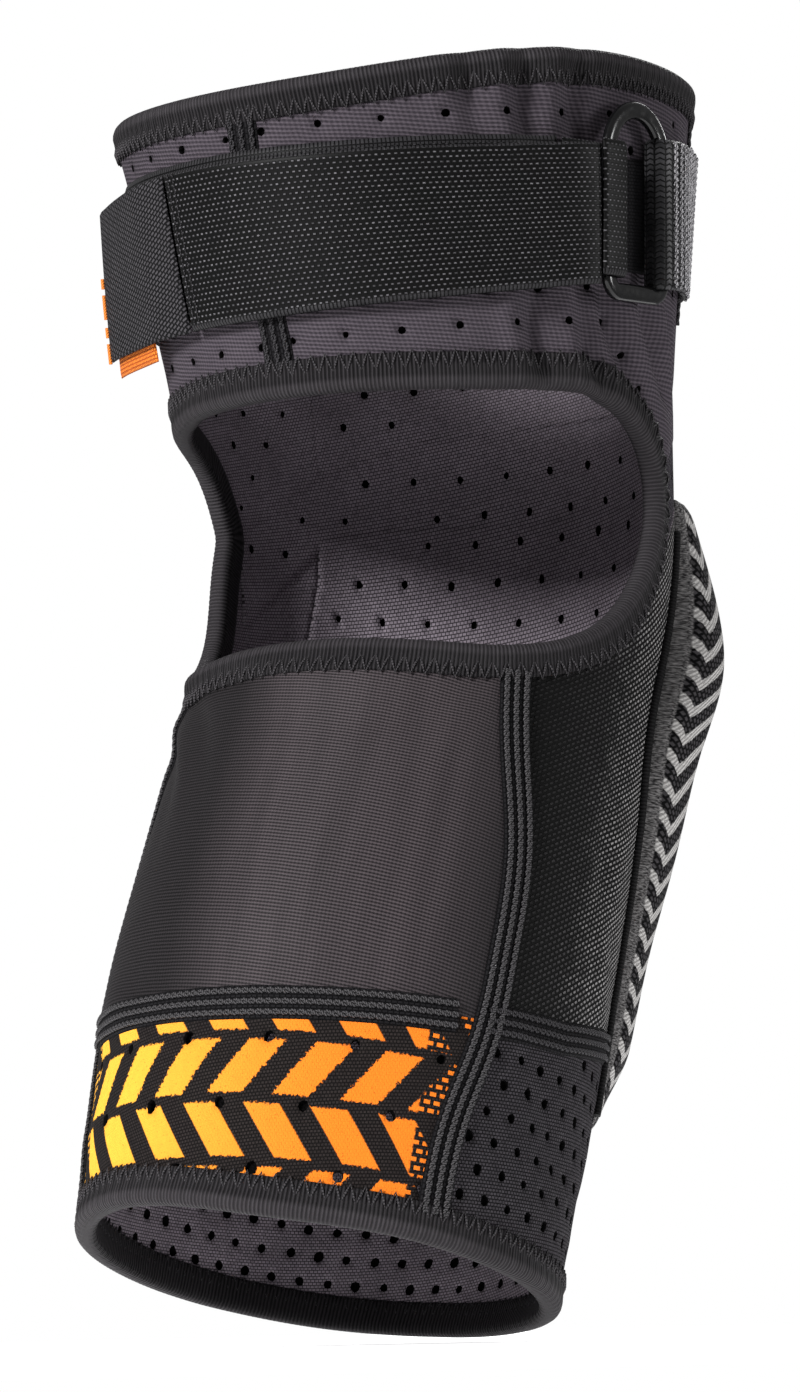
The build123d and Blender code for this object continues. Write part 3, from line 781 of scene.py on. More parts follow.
def abrasion_mesh():
    look = Look("abrasion_mesh_face", rough=0.6, sheen=0.008)
    x, _ = look.split()
    dashes = look.brick(1.75, 1.25, 0.4, 34, smooth=0.5)
    # Painted shade: the mesh is darker near the calf seam and lighter towards the pad, as the light falls on
    # it. The noise is random tone.
    painted_light_toward_pad = look.step(look.math("ABSOLUTE", x), 68.0, 118.0)
    amount = (painted_light_toward_pad * 0.85 + 0.25) * (look.noise(6) * 0.4 + 0.8)
    colour = look.ramp(dashes * amount, (0.12, (9, 9, 9)), (0.55, (54, 53, 54)), (1.0, (140, 138, 138)))
    return look.done(colour, dashes, 0.35, 1.0)


def cuff_knit():
    look = Look("cuff_knit_face", rough=0.85, sheen=0.008)
    rows = look.brick(1.05, 0.8, 0.17, 8)
    colour = look.ramp(rows * (look.noise(1.6) + 0.5), (0.15, (16, 15, 17)), (0.95, (70, 67, 71)))
    return look.done(look.blotch(colour, 14, 2, 0.5, (30, 28, 31)), rows, 0.24)


def printed_knit():
    """The cuff knit with a plain print: slanted bars that fade from yellow-orange to orange."""
    look = Look("printed_cuff_face", rough=0.78, sheen=0.008)
    rows = look.brick(0.9, 0.8, 0.17, 8)
    base = look.ramp(rows * (look.noise(1.6) + 0.5), (0.15, (16, 14, 14)), (0.95, (46, 41, 40)))
    base = look.blotch(base, 10, 2, 0.4, (27, 24, 24))
    x, y = look.split()
    ragged = (look.noise(0.8, 1) - 0.5) * 1.4
    level = y + ragged + 180.0
    row = look.math("FLOOR", level / 14.5)
    rise = look.math("PINGPONG", level, 14.5)
    lean = rise * 0.8 + x + (row * 7.0 + ragged)
    bars = look.step(look.math("PINGPONG", lean, 8.5), 3.6, 4.1)
    split = look.step(rise, 0.9, 1.3) * (1 - look.step(rise, 13.2, 13.6))
    away = look.math("ABSOLUTE", x + 3.0)
    threads = look.step(look.brick(2.6, 1.9, 0.5, smooth=0.1), 0.3, 0.5)
    sides = look.math("MAXIMUM", 1 - look.step(away, 52.0, 52.6), threads)
    crackle = look.step(look.cells(1.1) * (look.noise(3) + 0.4), 0.03, 0.2)
    mask = bars * split * sides * (crackle * 0.35 + 0.65)
    ink = look.mix(look.step(x, -40.0, 50.0), linear((238, 122, 34)), linear((250, 186, 66)))
    ink = look.blotch(ink, 2.2, 2, 0.35, (214, 120, 40))
    return look.done(look.mix(mask, base, ink), rows * (mask * -0.6 + 1.0) + mask, 0.24)


def pad_fabric():
    """Chevron knit: the first coordinate is the distance in from the pad's edge."""
    look = Look("chevron_pad_face", rough=0.6, sheen=0.01)
    x, y = look.split()
    fold = look.math("PINGPONG", x + 6.0, 10.6)
    ragged = (look.noise(0.7, 1) - 0.5) * 0.7
    phase = look.math("FRACT", (y + ragged + fold * 0.95) / 7.1)
    arm = look.step(phase, 0.04, 0.1) * (1 - look.step(phase, 0.44, 0.5)) * (1 - look.step(x, 41.0, 42.0))
    knit = look.brick(1.5, 1.2, 0.34, 45)
    black = look.ramp(knit * (look.noise(1.2) + 0.45), (0.2, (6, 6, 7)), (0.95, (66, 64, 66)))
    pale = look.ramp(look.wave(0.8, 40, 0.5, 0.5), (0.0, (128, 126, 125)), (1.0, (192, 190, 188)))
    melange = look.ramp(look.noise(0.4), (0.35, (36, 35, 36)), (0.65, (128, 126, 126)))
    colour = look.mix(1 - look.step(x, 1.3, 1.6), look.mix(arm, black, pale), melange)
    return look.done(colour, knit + arm * 1.4, 0.3)


def piping():
    look = Look("pad_piping_face", rough=0.55, sheen=0.01)
    ribs = look.wave(0.9, 0, 0.4)
    colour = look.ramp(ribs, (0.1, (9, 9, 9)), (0.9, (25, 24, 25)))
    return look.done(look.blotch(colour, 3, 2, 0.4, (15, 15, 16)), ribs)


def flatlock():
    look = Look("flatlock_band", rough=0.75, sheen=0.008)
    rows = look.brick(1.3, 0.8, 0.18)
    colour = look.ramp(rows, (0.1, (10, 9, 11)), (0.9, (31, 30, 32)))
    return look.done(look.blotch(colour, 3, 2, 0.5, (17, 17, 18)), rows, 0.3)


def glossy_plastic():
    look = Look("moulded_black_plastic", rough=0.2, coat=0.12, coat_rough=0.08, specular=0.3, objects=True)
    grain = look.noise(1.6, 3)
    colour = look.ramp(look.noise(9), (0.3, (7, 7, 8)), (0.7, (15, 15, 16)))
    return look.done(colour, grain, 0.02, 0.4, look.ramp(grain, (0.3, 0.12), (0.75, 0.26)))


def hook_face():
    look = Look("orange_hook_tape", rough=0.7, sheen=0.06)
    hooks = look.brick(0.9, 0.9, 0.2)
    colour = look.ramp(hooks, (0.1, (150, 62, 14)), (0.9, (244, 140, 52)))
    return look.done(look.blotch(colour, 3, 2, 0.4, (220, 110, 36)), hooks, 0.4, 1.0)


def pit():
    # Near-black on the walls and floors of the holes: the cut foam's own black, made darker as painted shade
    # inside the holes.
    look = Look("cut_foam_and_painted_hole_shade", rough=0.95, specular=0.02)
    colour = look.ramp(look.noise(0.6), (0.3, (3, 3, 3)), (0.7, (14, 13, 14)))
    return look.done(colour, look.noise(0.4, 1), 0.1)


def floor_look():
    look = Look("pale_floor", rough=0.9, specular=0.0, objects=True)
    look.shader.inputs["Emission Color"].default_value = (1, 1, 1, 1)
    look.shader.inputs["Emission Strength"].default_value = 0.7
    return look.done(look.ramp(look.noise(60), (0.3, (246, 246, 247)), (0.7, (250, 250, 250))))


KNIT = thigh_knit()
FLEX_KNIT = thigh_knit("flex_knit_face", (22, 21, 24), (60, 57, 62))
LINING = lining()
TAPE_LOOK = elastic_tape()
PALE_THREAD = thread_look("pale_grey_thread", (16, 16, 17), (84, 82, 84))
DARK_THREAD = thread_look("charcoal_thread", (14, 14, 15), (64, 62, 65))
ZIGZAG_THREAD = thread_look("zigzag_thread", (20, 20, 21), (76, 73, 76))
ROPE = thread_look("bright_chain_thread", (14, 14, 15), (205, 203, 207), 0.35)
ORANGE_THREAD = thread_look("orange_thread", (190, 88, 24), (244, 150, 66))
STRAP_LOOK = basket_strap()
TAB_LOOK = twill_tab()
WEBBING = keeper_webbing()
MESH = power_mesh()
SIDE = abrasion_mesh()
CUFF = cuff_knit()
PRINT = printed_knit()
PADDING = pad_fabric()
PIPING = piping()
SEAM_LOOK = flatlock()
PLASTIC = glossy_plastic()
HOOKS = hook_face()
PIT = pit()

# ---------------------------------------------------------------- putting pieces on bodies


FLEX = ("lower", "thigh", (0, 0.0017, 0.0030), (0, 0.0058, 0.0102))
STRETCH = 1.05
HOLES = (10, 12, 0.95, 0.0)
STAR_HOLES = (6, 10, 1.3, 0.0)
PRINT_HOLES = (16, 22, 1.5, 0.6)


def cloth(made, node, body, slot, width, length, rests, other=None):
    """Puts a cloth panel and its near-black hole floors, which are painted shade, on their body, and hides
    the CAD part.
    """
    thing, hole_shade_floors = made
    area = sum(face.area for face in thing.data.polygons) / 2 / STRETCH
    for piece in filter(None, made):
        if other:
            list(other)
            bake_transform(piece)
        else:
            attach(piece, body)
    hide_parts(node)
    width *= max(1, area / (width * length) / 0.98)
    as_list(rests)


def on(thing, body, nodes=()):
    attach(thing, body)
    if nodes:
        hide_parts(*nodes)


def within(t, low, high):
    return np.minimum(t - low, high - t) * MM_PER_DEGREE


def turned(t):
    """The angle between -180 and 180."""
    return (t + 180) % 360 - 180


def least(*fields):
    out = fields[0]
    for field in fields[1:]:
        out = np.minimum(out, field)
    return out


def bottom_gap(s, t):
    return s - bottom_rim(t) - RIM_HEM


def thigh_field(low, high):
    def field(s, t):
        y, z = side_view(s, t)
        flex = np.where(y < 0, above(FLEX_TOP, s, t), z - 21)
        return least(within(t, low, high), top_rim(turned(t)) - RIM_HEM - s, opening_gap(s, t) - HEM, flex)
    return field


def flex_field(s, t):
    y, _ = side_view(s, t)
    return least(2 - above(FLEX_TOP, s, t), above(FLEX_BOTTOM, s, t) + 2, opening_gap(s, t) - HEM, 1.0 - y)


def calf_field(s, t):
    beside = (calf_seam(s) - np.abs(t)) * MM_PER_DEGREE
    return least(beside, opening_gap(s, t) - HEM, 10 - s, above(CUFF_SEAM, s, t))


def cuff_field(s, t):
    beside = (calf_seam(s) - np.abs(t)) * MM_PER_DEGREE
    return least(beside, bottom_gap(s, t), -above(CUFF_SEAM, s, t))


def side_field(sign):
    def field(s, t):
        y, z = side_view(s, t)
        under = np.interp(y, FLEX_BOTTOM[:, 0], FLEX_BOTTOM[:, 1], right=14) - z
        beside = within(sign * t, calf_seam(s), pad_edge(s))
        return least(beside, opening_gap(s, t) - HEM, above(CUFF_SEAM, s, t), under)
    return field


def shin_field(s, t):
    edge = calf_seam(s)
    return least(within(t, edge, 360 - edge), bottom_gap(s, turned(t)), -above(CUFF_SEAM, s, t))


def backing_field(s, t):
    edge = pad_edge(s)
    under = -above(FLEX_BOTTOM, s, t)
    return least(within(t, edge, 360 - edge), under, above(CUFF_SEAM, s, t), opening_gap(s, t) - HEM)


# Name, CAD node, body, slot; field, angles, heights, face, flat size (m), what it rests on, how it is cut.
PANELS = (
    ("thigh_back_left_knit", "thigh_back_left", "thigh", "perforated_neoprene",
     thigh_field(0, THIGH_SEAM), (-2, 121), (18, 124), KNIT, (0.14, 0.085), "top_binding_tape",
     {"holes": HOLES}),
    ("thigh_back_right_knit", "thigh_back_right", "thigh", "perforated_neoprene",
     thigh_field(-THIGH_SEAM, 0), (-121, 2), (18, 126), KNIT, (0.14, 0.085), "top_binding_tape",
     {"holes": HOLES}),
    ("thigh_front_knit", "thigh_front_panel", "thigh", "perforated_neoprene",
     thigh_field(THIGH_SEAM, 360 - THIGH_SEAM), (114, 246), (30, 124), KNIT, (0.16, 0.08), "top_binding_tape",
     {"holes": HOLES}),
    ("knee_flex_knit", "knee_flex_panel", "lower", "perforated_neoprene",
     flex_field, (88, 272), (-8, 66), FLEX_KNIT, (0.19, 0.04), "thigh_front_knit",
     {"holes": HOLES, "out": -0.25, "thick": 2.2}),
    ("calf_mesh_panel", "calf_panel", "lower", "power_mesh",
     calf_field, (-66, 66), (-140, -28), MESH, (0.13, 0.09), "opening_binding_tape", {"thick": 1.6}),
    ("calf_cuff_knit", "calf_cuff_panel", "lower", "printed_knit",
     cuff_field, (-64, 64), (-182, -114), PRINT, (0.12, 0.05), "bottom_binding_tape",
     {"holes": PRINT_HOLES, "thick": 2.4}),
    ("side_mesh_left_cloth", "side_mesh_left", "lower", "abrasion_mesh",
     side_field(1), (50, 128), (-136, 20), SIDE, (0.075, 0.12), "opening_binding_tape", {"thick": 1.8}),
    ("side_mesh_right_cloth", "side_mesh_right", "lower", "abrasion_mesh",
     side_field(-1), (-128, -50), (-136, 20), SIDE, (0.075, 0.12), "opening_binding_tape", {"thick": 1.8}),
    ("pad_backing_cloth", "pad_backing_panel", "lower", "perforated_neoprene",
     backing_field, (104, 256), (-136, 32), CUFF, (0.15, 0.14), "opening_binding_tape",
     {"holes": HOLES, "out": -0.4, "thick": 2.2}),
    ("shin_cuff_knit", "shin_cuff", "lower", "cuff_neoprene",
     shin_field, (50, 310), (-186, -108), CUFF, (0.27, 0.055), "bottom_binding_tape", {"holes": STAR_HOLES}),
)
for name, node, body, slot, field, angles, heights, face, flat, rests, how in PANELS:
    cloth(panel(name, field, angles, heights, face, **how), node, body, slot, *flat, [rests],
          FLEX if node == "knee_flex_panel" else None)

# ---------------------------------------------------------------- elastic tapes round the three rims

TAPE_SECTION = [
    (7.4, -0.5), (7.4, 0.4), (7.1, 0.66), (6.4, 0.76), (5.2, 0.84), (4.0, 0.95), (3.0, 1.1), (1.9, 1.25),
    (0.8, 1.2), (-0.1, 0.85), (-0.8, 0.05), (-1.08, -1.0), (-1.05, -2.1), (-0.65, -3.1), (0.2, -3.75),
    (1.5, -3.85), (3.6, -3.75), (5.5, -3.7), (7.0, -3.6), (7.4, -3.1), (7.3, -2.6),
]


def ribbed(length, w, h, total):
    count = max(1, round(total / 1.35))
    lift = 0.07 * np.cos(2 * pi * count * length / total)
    outside = (h > -0.6) | (w < 0.5)
    return lift * outside * (w < 7.2) + 0.12 * np.sin(2 * pi * 9 * length / total) * (w < 2)


def opening_path():
    """The opening's edge as (angle, height), once round."""
    turn = np.linspace(0, 2 * pi, 721)[:-1]
    reach = np.linspace(4, 135, 263)
    u = reach[None, :] * np.cos(turn)[:, None]
    v = 8 + reach[None, :] * np.sin(turn)[:, None]
    gap = opening_gap(v, u / MM_PER_DEGREE)
    first = np.argmax(gap > 0, axis=1)
    rows = np.arange(len(turn))
    a, b = gap[rows, first - 1], gap[rows, first]
    r = reach[first - 1] + (reach[first] - reach[first - 1]) * (-a) / (b - a)
    return np.stack([r * np.cos(turn) / MM_PER_DEGREE, 8 + r * np.sin(turn)], -1)


OPENING_PATH = opening_path()[::-1]
TURNS = np.linspace(-180, 180, 361)[:-1]
TOP_PATH = np.stack([TURNS, top_rim(TURNS)], -1)[::-1]
BOTTOM_PATH = np.stack([TURNS, bottom_rim(TURNS)], -1)

ZIGZAG = (3.6, 8.0, 3.3, 1.08, 0.27, ZIGZAG_THREAD)
INNER_ZIGZAG = (4.0, 7.4, 2.6, -3.4, 0.22, DARK_THREAD)

opening_tape = band("opening_binding_tape", OPENING_PATH, TAPE_SECTION, TAPE_LOOK, True, ribbed)
opening_zigzag = zigzag("opening_zigzag_stitch", OPENING_PATH, *ZIGZAG)
for piece in (opening_tape, opening_zigzag):
    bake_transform(piece)
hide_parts("opening_binding")

RIMS = (("top", TOP_PATH, "thigh"), ("bottom", BOTTOM_PATH, "lower"))
for name, path, body in RIMS:
    on(band(name + "_binding_tape", path, TAPE_SECTION, TAPE_LOOK, True, ribbed), body, [name + "_binding"])
    on(zigzag(name + "_zigzag_stitch", path, *ZIGZAG), body)
for name, path, body in RIMS:
    on(zigzag(name + "_inner_zigzag", path, *INNER_ZIGZAG), body)

# ---------------------------------------------------------------- flat seams

SEAM_SECTION = [
    (-4.0, -0.6), (-3.9, 0.15), (-3.2, 0.5), (-1.6, 0.62), (0, 0.66), (1.6, 0.62), (3.2, 0.5), (3.9, 0.15),
    (4.0, -0.6), (0, -0.8),
]


def side_view_path(start, end, line):
    """A seam that follows a side-view line, from one angle to another."""
    t = np.linspace(start, end, 90)
    return np.stack([t, first_height(lambda s, t: above(line, s, t) > 0, t, -176, -70)], -1)


def upright(angle, low, high, count):
    return np.stack([np.full(count, float(angle)), np.linspace(low, high, count)], -1)


def seam_band(name, path, body, nodes=(), section=SEAM_SECTION):
    on(band(name, path, section, SEAM_LOOK, False, step=0.8), body, nodes)


def stitches(name, path, body, gap, material, pitch=1.9, height=0.85, radius=0.36):
    """Three rows of chain stitch along a seam."""
    on(chain_rows(name, path, (-gap, 0.0, gap), pitch, height, radius, material), body)


for sign, side in ((1, "left"), (-1, "right")):
    heights = np.linspace(-172, -38, 60)
    path = np.stack([sign * cubic(LOWER_SEAMS[:, 0], LOWER_SEAMS[:, 1])(heights), heights], -1)
    seam_band("calf_flatlock_" + side, path, "lower", ["calf_seam_" + side])
    stitches("calf_chain_stitch_" + side, path, "lower", 2.5, PALE_THREAD)
    path = side_view_path(sign * 63.5, sign * 118, CUFF_SEAM)
    seam_band("side_cuff_flatlock_" + side, path, "lower", ["side_cuff_seam_" + side])
    stitches("side_cuff_chain_stitch_" + side, path, "lower", 2.4, DARK_THREAD)
    path = upright(sign * THIGH_SEAM, 60, 113, 40)
    stitches("thigh_side_stitch_" + side, path, "thigh", 1.6, DARK_THREAD, 2.5, 0.3, 0.3)

path = side_view_path(-56, 56, CUFF_SEAM)
seam_band("calf_cuff_flatlock", path, "lower", ["calf_cuff_seam"])
stitches("calf_cuff_chain_stitch", path, "lower", 2.5, PALE_THREAD)

CENTRE_SECTION = [
    (-4.0, -0.6), (-3.9, 0.1), (-2.6, 0.35), (0, 0.4), (2.6, 0.35), (3.9, 0.1), (4.0, -0.6), (0, -0.8),
]
centre = {"low": upright(0, 52, 66, 20), "high": upright(0, 102, 114, 20)}
seam_band("back_centre_flatlock_low", centre["low"], "thigh", ["back_centre_seam"], CENTRE_SECTION)
seam_band("back_centre_flatlock_high", centre["high"], "thigh", section=CENTRE_SECTION)
for end, path in centre.items():
    stitches("back_centre_stitch_" + end, path, "thigh", 2.7, DARK_THREAD, 2.2, 0.55)

# ---------------------------------------------------------------- strap, tab, fold and keeper

# The buckle's own axes: the foot of its loop, then the ways back round the leg, out of the leg, and up.
FOOT = np.array([-63.47, 17.64, 83.08])
BACK = np.array([0.1258, 0.9888, -0.081])
OUT = np.array([-0.9889, 0.1184, -0.0903])
UP = np.array([-0.0797, 0.0914, 0.9926])
STRAP_HEIGHT = 85  # the height along the leg that the foot stands at
WEBBING_STEP = 0.6


def local(back, out, up):
    """A point in the buckle's own axes."""
    back, out, up = np.broadcast_arrays(back, out, up)
    return FOOT + back[..., None] * BACK + out[..., None] * OUT + up[..., None] * UP


def strap_surface(line, low, high, columns, lift=0.7, sway=0.0, droop=0.0, flare=0.0):
    """The middle of a strap along (angle, lift) points, between two heights."""
    line = np.array(line, float)
    order = line[np.argsort(line[:, 0])]
    rise = cubic(order[:, 0], order[:, 1])
    count = int(abs(line[-1, 0] - line[0, 0]) * MM_PER_DEGREE / 0.9)
    t = np.linspace(line[0, 0], line[-1, 0], count)[:, None]
    s = np.linspace(low, high, columns)[None, :]
    share = (s - low) / (high - low)
    pinch = np.clip(-t / 70, 0, 1) * (2.0 - 4.2 * share)
    fall = droop * (np.clip(t - 22, 0, 40) / 33) ** 1.4
    open_out = flare * (0.5 - share) * np.clip((t - 24) / 30, 0, 1)
    return skin(s + pinch + sway * np.sin(np.radians(t * 2.2)) - fall, t, rise(t) + lift + open_out, 0.35)


run_line = [(118, 0.1), (60, 0.1), (0, 0.1), (-63.5, 0.1)]
on(slab("strap_under_layer", strap_surface(run_line, 66.2, 103.4, 34, lift=0.6), 1.3, STRAP_LOOK),
   "thigh", ["strap_run"])

outer_line = [
    (-69.3, 7.1), (-65.5, 6.6), (-61, 5.2), (-56, 3.6), (-51, 2.4), (-46, 1.95), (-38, 1.9), (-26, 1.9),
    (-13, 1.9), (0, 1.9), (11, 1.9), (21.1, 1.9),
]
on(slab("strap_outer_layer", strap_surface(outer_line, 64.2, 101.2, 40, sway=0.25), 1.4, STRAP_LOOK),
   "strap", ["strap_outer"])
tail_line = [(22, 1.9), (26, 2.2), (31, 3.1), (38, 3.8), (46, 5.2), (57.5, 9.2)]
on(slab("strap_tab", strap_surface(tail_line, 64.2, 101.2, 40, droop=1.6, flare=4.0), 1.4, TAB_LOOK),
   "tail", ["strap_tail"])
hook_line = [(38, 2.4), (42, 2.9), (46, 3.8), (58, 8.2)]
on(slab("hook_tab", strap_surface(hook_line, 60.2, 98.5, 34, lift=0.45, droop=1.6, flare=4.0), 1.0, HOOKS),
   "tail", ["hook_patch"])


def fold_surface(route, low, high, columns):
    """The middle of a webbing fold: route holds (back, out) points in the buckle's side view."""
    route = np.array(route, float)
    back, out = even(route, int(running(route)[-1] / WEBBING_STEP)).T[..., None]
    return local(back, out, np.linspace(low, high, columns)[None, :] - STRAP_HEIGHT)


rear_fold = [
    (24, -0.6), (18, 0.0), (12.8, 0.35), (8.9, 0.7), (7.2, 2.5), (7.2, 5.0), (8.6, 6.2), (11.0, 6.55),
    (14.0, 6.5), (17.0, 6.2),
]
on(slab("strap_fold", fold_surface(rear_fold, 67.8, 99.6, 34), 1.3, STRAP_LOOK),
   "thigh")


def keeper_surface(low, high, columns):
    """The keeper's middle: flat on the leg, up over the buckle's front bar and back under it."""
    heights = np.linspace(low, high, columns)
    flat = ((-126, 0.9), (-121, 1.3), (-116, 1.5), (-111, 1.8), (-106, 2.5))
    over = [(-17.4, 5.1), (-13.8, 6.1), (-10.0, 6.2), (-7.7, 5.3), (-7.2, 3.2), (-8.0, 1.3), (-12.6, 0.9)]
    rows = [skin(heights, angle, lift) for angle, lift in flat]
    rows += [local(b, o, heights - STRAP_HEIGHT) for b, o in over]
    rows = np.array(rows)
    length = running(rows[:, columns // 2])
    at = np.linspace(0, length[-1], int(length[-1] / WEBBING_STEP))
    smooth = [cubic(length, column)(at) for column in rows.reshape(len(rows), -1).T]
    return np.stack(smooth, -1).reshape(len(at), columns, 3)


backing_line = [(-74, 0.1), (-82, 0.1), (-91, 0.1)]
on(slab("buckle_backing", strap_surface(backing_line, 68, 99, 30, lift=0.3), 0.8, SEAM_LOOK),
   "thigh")
on(slab("keeper_webbing", keeper_surface(66.2, 101.8, 34), 1.5, WEBBING),
   "thigh", ["buckle_keeper"])


def keeper_ropes():
    """Chain-stitched columns that stand up along the keeper's outer face."""
    low, high, columns = 66.8, 101.2, 120
    rows = keeper_surface(low, high, columns)
    along, across = np.gradient(rows, axis=0), np.gradient(rows, axis=1)
    normal = np.cross(along, across)
    normal /= np.linalg.norm(normal, axis=2)[..., None]
    if (normal[len(rows) // 3] @ OUT).mean() < 0:
        normal = -normal
    along /= np.linalg.norm(along, axis=2)[..., None]
    shape = Shape()
    phase = np.arange(columns) * ((high - low) / (columns - 1)) / 1.55 * 2 * pi
    for k, row in enumerate(range(3, len(rows) - 18, 4)):
        loop = phase + k * 2.1
        out, aside = 0.85 + 0.22 * np.cos(loop), 0.5 * np.sin(loop)
        thread(shape, rows[row] + normal[row] * out[:, None] + along[row] * aside[:, None], 0.42)
    return shape.make("keeper_stitch_columns", [ROPE])


on(keeper_ropes(), "thigh")


def buckle_route(half, arch, bottom, corner):
    """The loop's middle line as (across, up), once round."""
    arcs = [(0, arch, half, 0, pi, 33)]
    for across, start in ((-half + corner, pi), (half - corner, 1.5 * pi)):
        arcs.append((across, bottom + corner, corner, start, start + pi / 2, 12))
    return np.array([
        (across + radius * cos(a), up + radius * sin(a))
        for across, up, radius, start, end, count in arcs for a in np.linspace(start, end, count)
    ])


def loop_ring(name, route, half_wide, half_thick, centre, material):
    """A ring with a rounded bar section along a route."""
    closed = np.vstack([route, route[:1]])
    length = running(closed)
    at = np.linspace(0, length[-1], 300)[:-1]
    line = np.stack([np.interp(at, length, column) for column in closed.T], -1)
    tangent = np.roll(line, -2, 0) - np.roll(line, 2, 0)
    tangent /= np.linalg.norm(tangent, axis=1)[:, None]
    turn = np.linspace(0, 2 * pi, 25)[:-1]
    w = half_wide * np.sign(np.cos(turn)) * np.abs(np.cos(turn)) ** 0.75
    h = half_thick * np.sign(np.sin(turn)) * np.abs(np.sin(turn)) ** 0.75
    points = local(line[:, :1] + tangent[:, 1:] * w, centre + h, line[:, 1:] - tangent[:, :1] * w)
    shape = Shape()
    shape.grid(points, np.zeros((len(line) + 1, len(turn) + 1, 2)), wrap_i=True, wrap_j=True)
    return shape.make(name, [material])


on(loop_ring("buckle_loop", buckle_route(10.9, 12.0, -20.4, 3.6), 2.1, 1.25, 3.4, PLASTIC),
   "buckle", ["buckle"])

# A bar tack of two stitched lines by the tab's hinge, and the broken orange line along the tab's end.
shape = Shape()
for t in (17.6, 19.2):
    for low in 65.6 + 1.5 * np.arange(24):
        h = 3.32 + 0.1 * np.sin(np.linspace(0, pi, 5))
        thread(shape, skin(np.linspace(low, low + 1.1, 5), t, h, 0.35), 0.17, 5)
on(shape.make("tab_bar_tack", [DARK_THREAD]), "strap")
shape = Shape()
for low, high in ((63, 68), (69.5, 72), (74, 80), (81.5, 84)):
    s = np.linspace(low, high, 8)
    thread(shape, skin(s - 1.0, 56.8, 12.4 - (s - 64.2) * 0.1, 0.35), 0.45)
on(shape.make("tab_edge_stitches", [ORANGE_THREAD]), "tail")

# ---------------------------------------------------------------- pad over the knee


def pad_top(t):
    """The height at which the pad stops, under the flex panel."""
    return first_height(lambda s, t: above(FLEX_BOTTOM, s, t) > -0.6, t, -60, 60)


def knee_pad():
    """A moulded pad with a soft edge, a ribbed kneecap and shin channels."""
    columns, rows = 171, 130
    part = np.linspace(0, 1, columns)
    q = np.linspace(0, 1, rows)
    edge_line = cubic(PAD[:, 0], PAD[:, 1])
    thick_line = cubic(PAD[:, 0], PAD[:, 2])
    s = PAD_BOTTOM + np.tile(q, (columns, 1)) * 160
    for _ in range(6):
        edge = edge_line(s)
        t = edge + part[:, None] * (360 - 2 * edge)
        top = pad_top(t[:, -1])
        s = PAD_BOTTOM + q[None, :] * (top[:, None] - PAD_BOTTOM)
    half = 1 - np.abs(2 * part - 1)
    places = np.stack([half, np.clip(half + 0.04, 0, 1)], -1)
    full = np.interp(places, PAD_FULLNESS[:, 0], PAD_FULLNESS[:, 1]).mean(1)[:, None]
    in_side = np.minimum(t - edge, 360 - edge - t) * MM_PER_DEGREE
    in_end = np.minimum(s - PAD_BOTTOM, top[:, None] - s)
    near = np.clip(np.minimum(in_side / 3.0, in_end / 5.0), 0, 1)
    taper = np.clip((s - PAD_BOTTOM) / 22, 0, 1)
    soft = np.sqrt(1 - (1 - near) ** 2) * (0.35 + 0.65 * taper * taper * (3 - 2 * taper))
    height = full * thick_line(s) * soft
    front = (t - 180) * MM_PER_DEGREE
    knee = np.exp(-(front / 34) ** 4)
    for level in (12, 0, -12, -24, -36):
        bow = level + 0.006 * front ** 2
        height -= 1.6 * knee * np.exp(-((s - bow) / 1.5) ** 2)
    for place in (-15, 15):
        shin = np.clip((-46 - s) / 8, 0, 1) * np.clip((s + 124) / 6, 0, 1)
        height -= 1.3 * shin * np.exp(-((front - place) / 1.6) ** 2)
    ring = np.hypot(front / 40, (s + 12) / 34)
    height -= 1.2 * np.exp(-((ring - 1) / 0.045) ** 2)
    outer = skin(s, t, np.maximum(height, 0.25), 0.4)
    base = skin(s, t, -0.35, 0.4)
    return closed_sheet("knee_pad_shell", outer, base, np.stack([in_side, s], -1), PADDING)


pad = knee_pad()
on(pad, "lower", ["knee_pad_cover", "knee_pad_insert"])

PIPING_SECTION = [(1.7 * cos(a), 0.35 + 1.15 * sin(a)) for a in np.linspace(0, 2 * pi, 13)[:-1]]
for sign, side in ((1, "left"), (-1, "right")):
    heights = np.linspace(PAD_BOTTOM + 1, 12, 90)
    path = np.stack([sign * (cubic(PAD[:, 0], PAD[:, 1])(heights) - 1.9), heights], -1)
    on(band("pad_piping_" + side, path, PIPING_SECTION, PIPING, False, step=0.7),
       "lower", ["pad_trim_" + side])

# ---------------------------------------------------------------- floor, light, camera

under = (0, 0.04, cad_box[0][2] - 0.001)
bpy.ops.mesh.primitive_circle_add(vertices=96, radius=0.5, fill_type="NGON", location=under)
floor = bpy.context.object
floor.name = "floor"
floor.data.materials.append(floor_look())

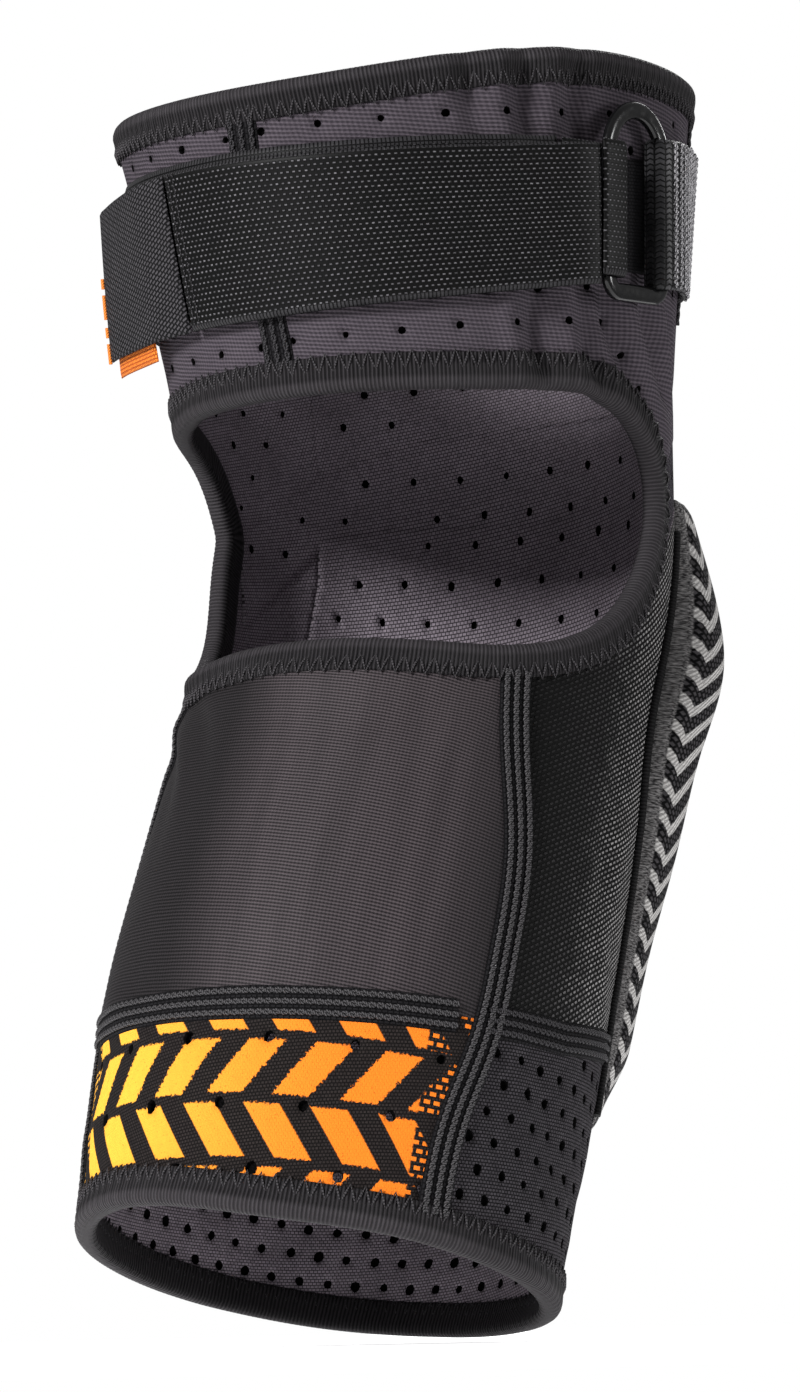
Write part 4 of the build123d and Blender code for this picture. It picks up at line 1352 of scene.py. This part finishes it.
# The room lights the object softly; the camera sees plain white behind it.
world = bpy.data.worlds.new("studio")
bpy.context.scene.world = world
world.use_nodes = True
sky = world.node_tree
room = sky.nodes["Background"]
paper = sky.nodes.new("ShaderNodeBackground")
for light, strength in ((room, 0.26), (paper, 1.0)):
    light.inputs[0].default_value = (1, 1, 1, 1)
    light.inputs[1].default_value = strength
pick = sky.nodes.new("ShaderNodeMixShader")
kind = sky.nodes.new("ShaderNodeLightPath")
for source, socket in (
    (kind.outputs["Is Camera Ray"], pick.inputs[0]), (room.outputs[0], pick.inputs[1]),
    (paper.outputs[0], pick.inputs[2]), (pick.outputs[0], sky.nodes["World Output"].inputs[0]),
):
    sky.links.new(source, socket)


def area_light(name, azimuth, elevation, distance, size, power):
    light = bpy.data.lights.new(name, "AREA")
    light.energy = power
    light.size = size
    thing = bpy.data.objects.new(name, light)
    a, e = radians(azimuth), radians(elevation)
    thing.location = (distance * sin(a) * cos(e), -distance * cos(a) * cos(e), distance * sin(e))
    thing.rotation_euler = (Vector(thing.location)).to_track_quat("Z", "Y").to_euler()
    bpy.context.scene.collection.objects.link(thing)


area_light("key", 170, 20, 1.7, 0.4, 40)
area_light("side", 294, 8, 1.6, 0.4, 10)
area_light("front", 20, 35, 1.7, 1.0, 18)

LENS = 121.7
DISTANCE = 1.15
ROLL = radians(-1.378)
azimuth, elevation = radians(210), radians(-8.73)
back = Vector((sin(azimuth) * cos(elevation), -cos(azimuth) * cos(elevation), sin(elevation)))
right = Vector((cos(azimuth), sin(azimuth), 0))
up = back.cross(right)
right, up = right * cos(ROLL) + up * sin(ROLL), up * cos(ROLL) - right * sin(ROLL)
# How far the middle of the view lies from the knee axis, as tangents of the two angles.
ASIDE, BELOW = -0.0080018, 0.022405
aim = (-back + right * ASIDE - up * BELOW).normalized()
axis_z = -aim
axis_x = (right - axis_z * right.dot(axis_z)).normalized()
axis_y = axis_z.cross(axis_x)
camera = bpy.data.cameras.new("camera")
camera.lens = LENS
camera.sensor_width = 36
camera.clip_start = 0.05
view = bpy.data.objects.new("camera", camera)
spot = back * DISTANCE
view.matrix_world = Matrix((
    (axis_x.x, axis_y.x, axis_z.x, spot.x), (axis_x.y, axis_y.y, axis_z.y, spot.y),
    (axis_x.z, axis_y.z, axis_z.z, spot.z), (0, 0, 0, 1),
))
bpy.context.scene.collection.objects.link(view)
bpy.context.scene.camera = view
bpy.context.scene.view_settings.view_transform = "Standard"
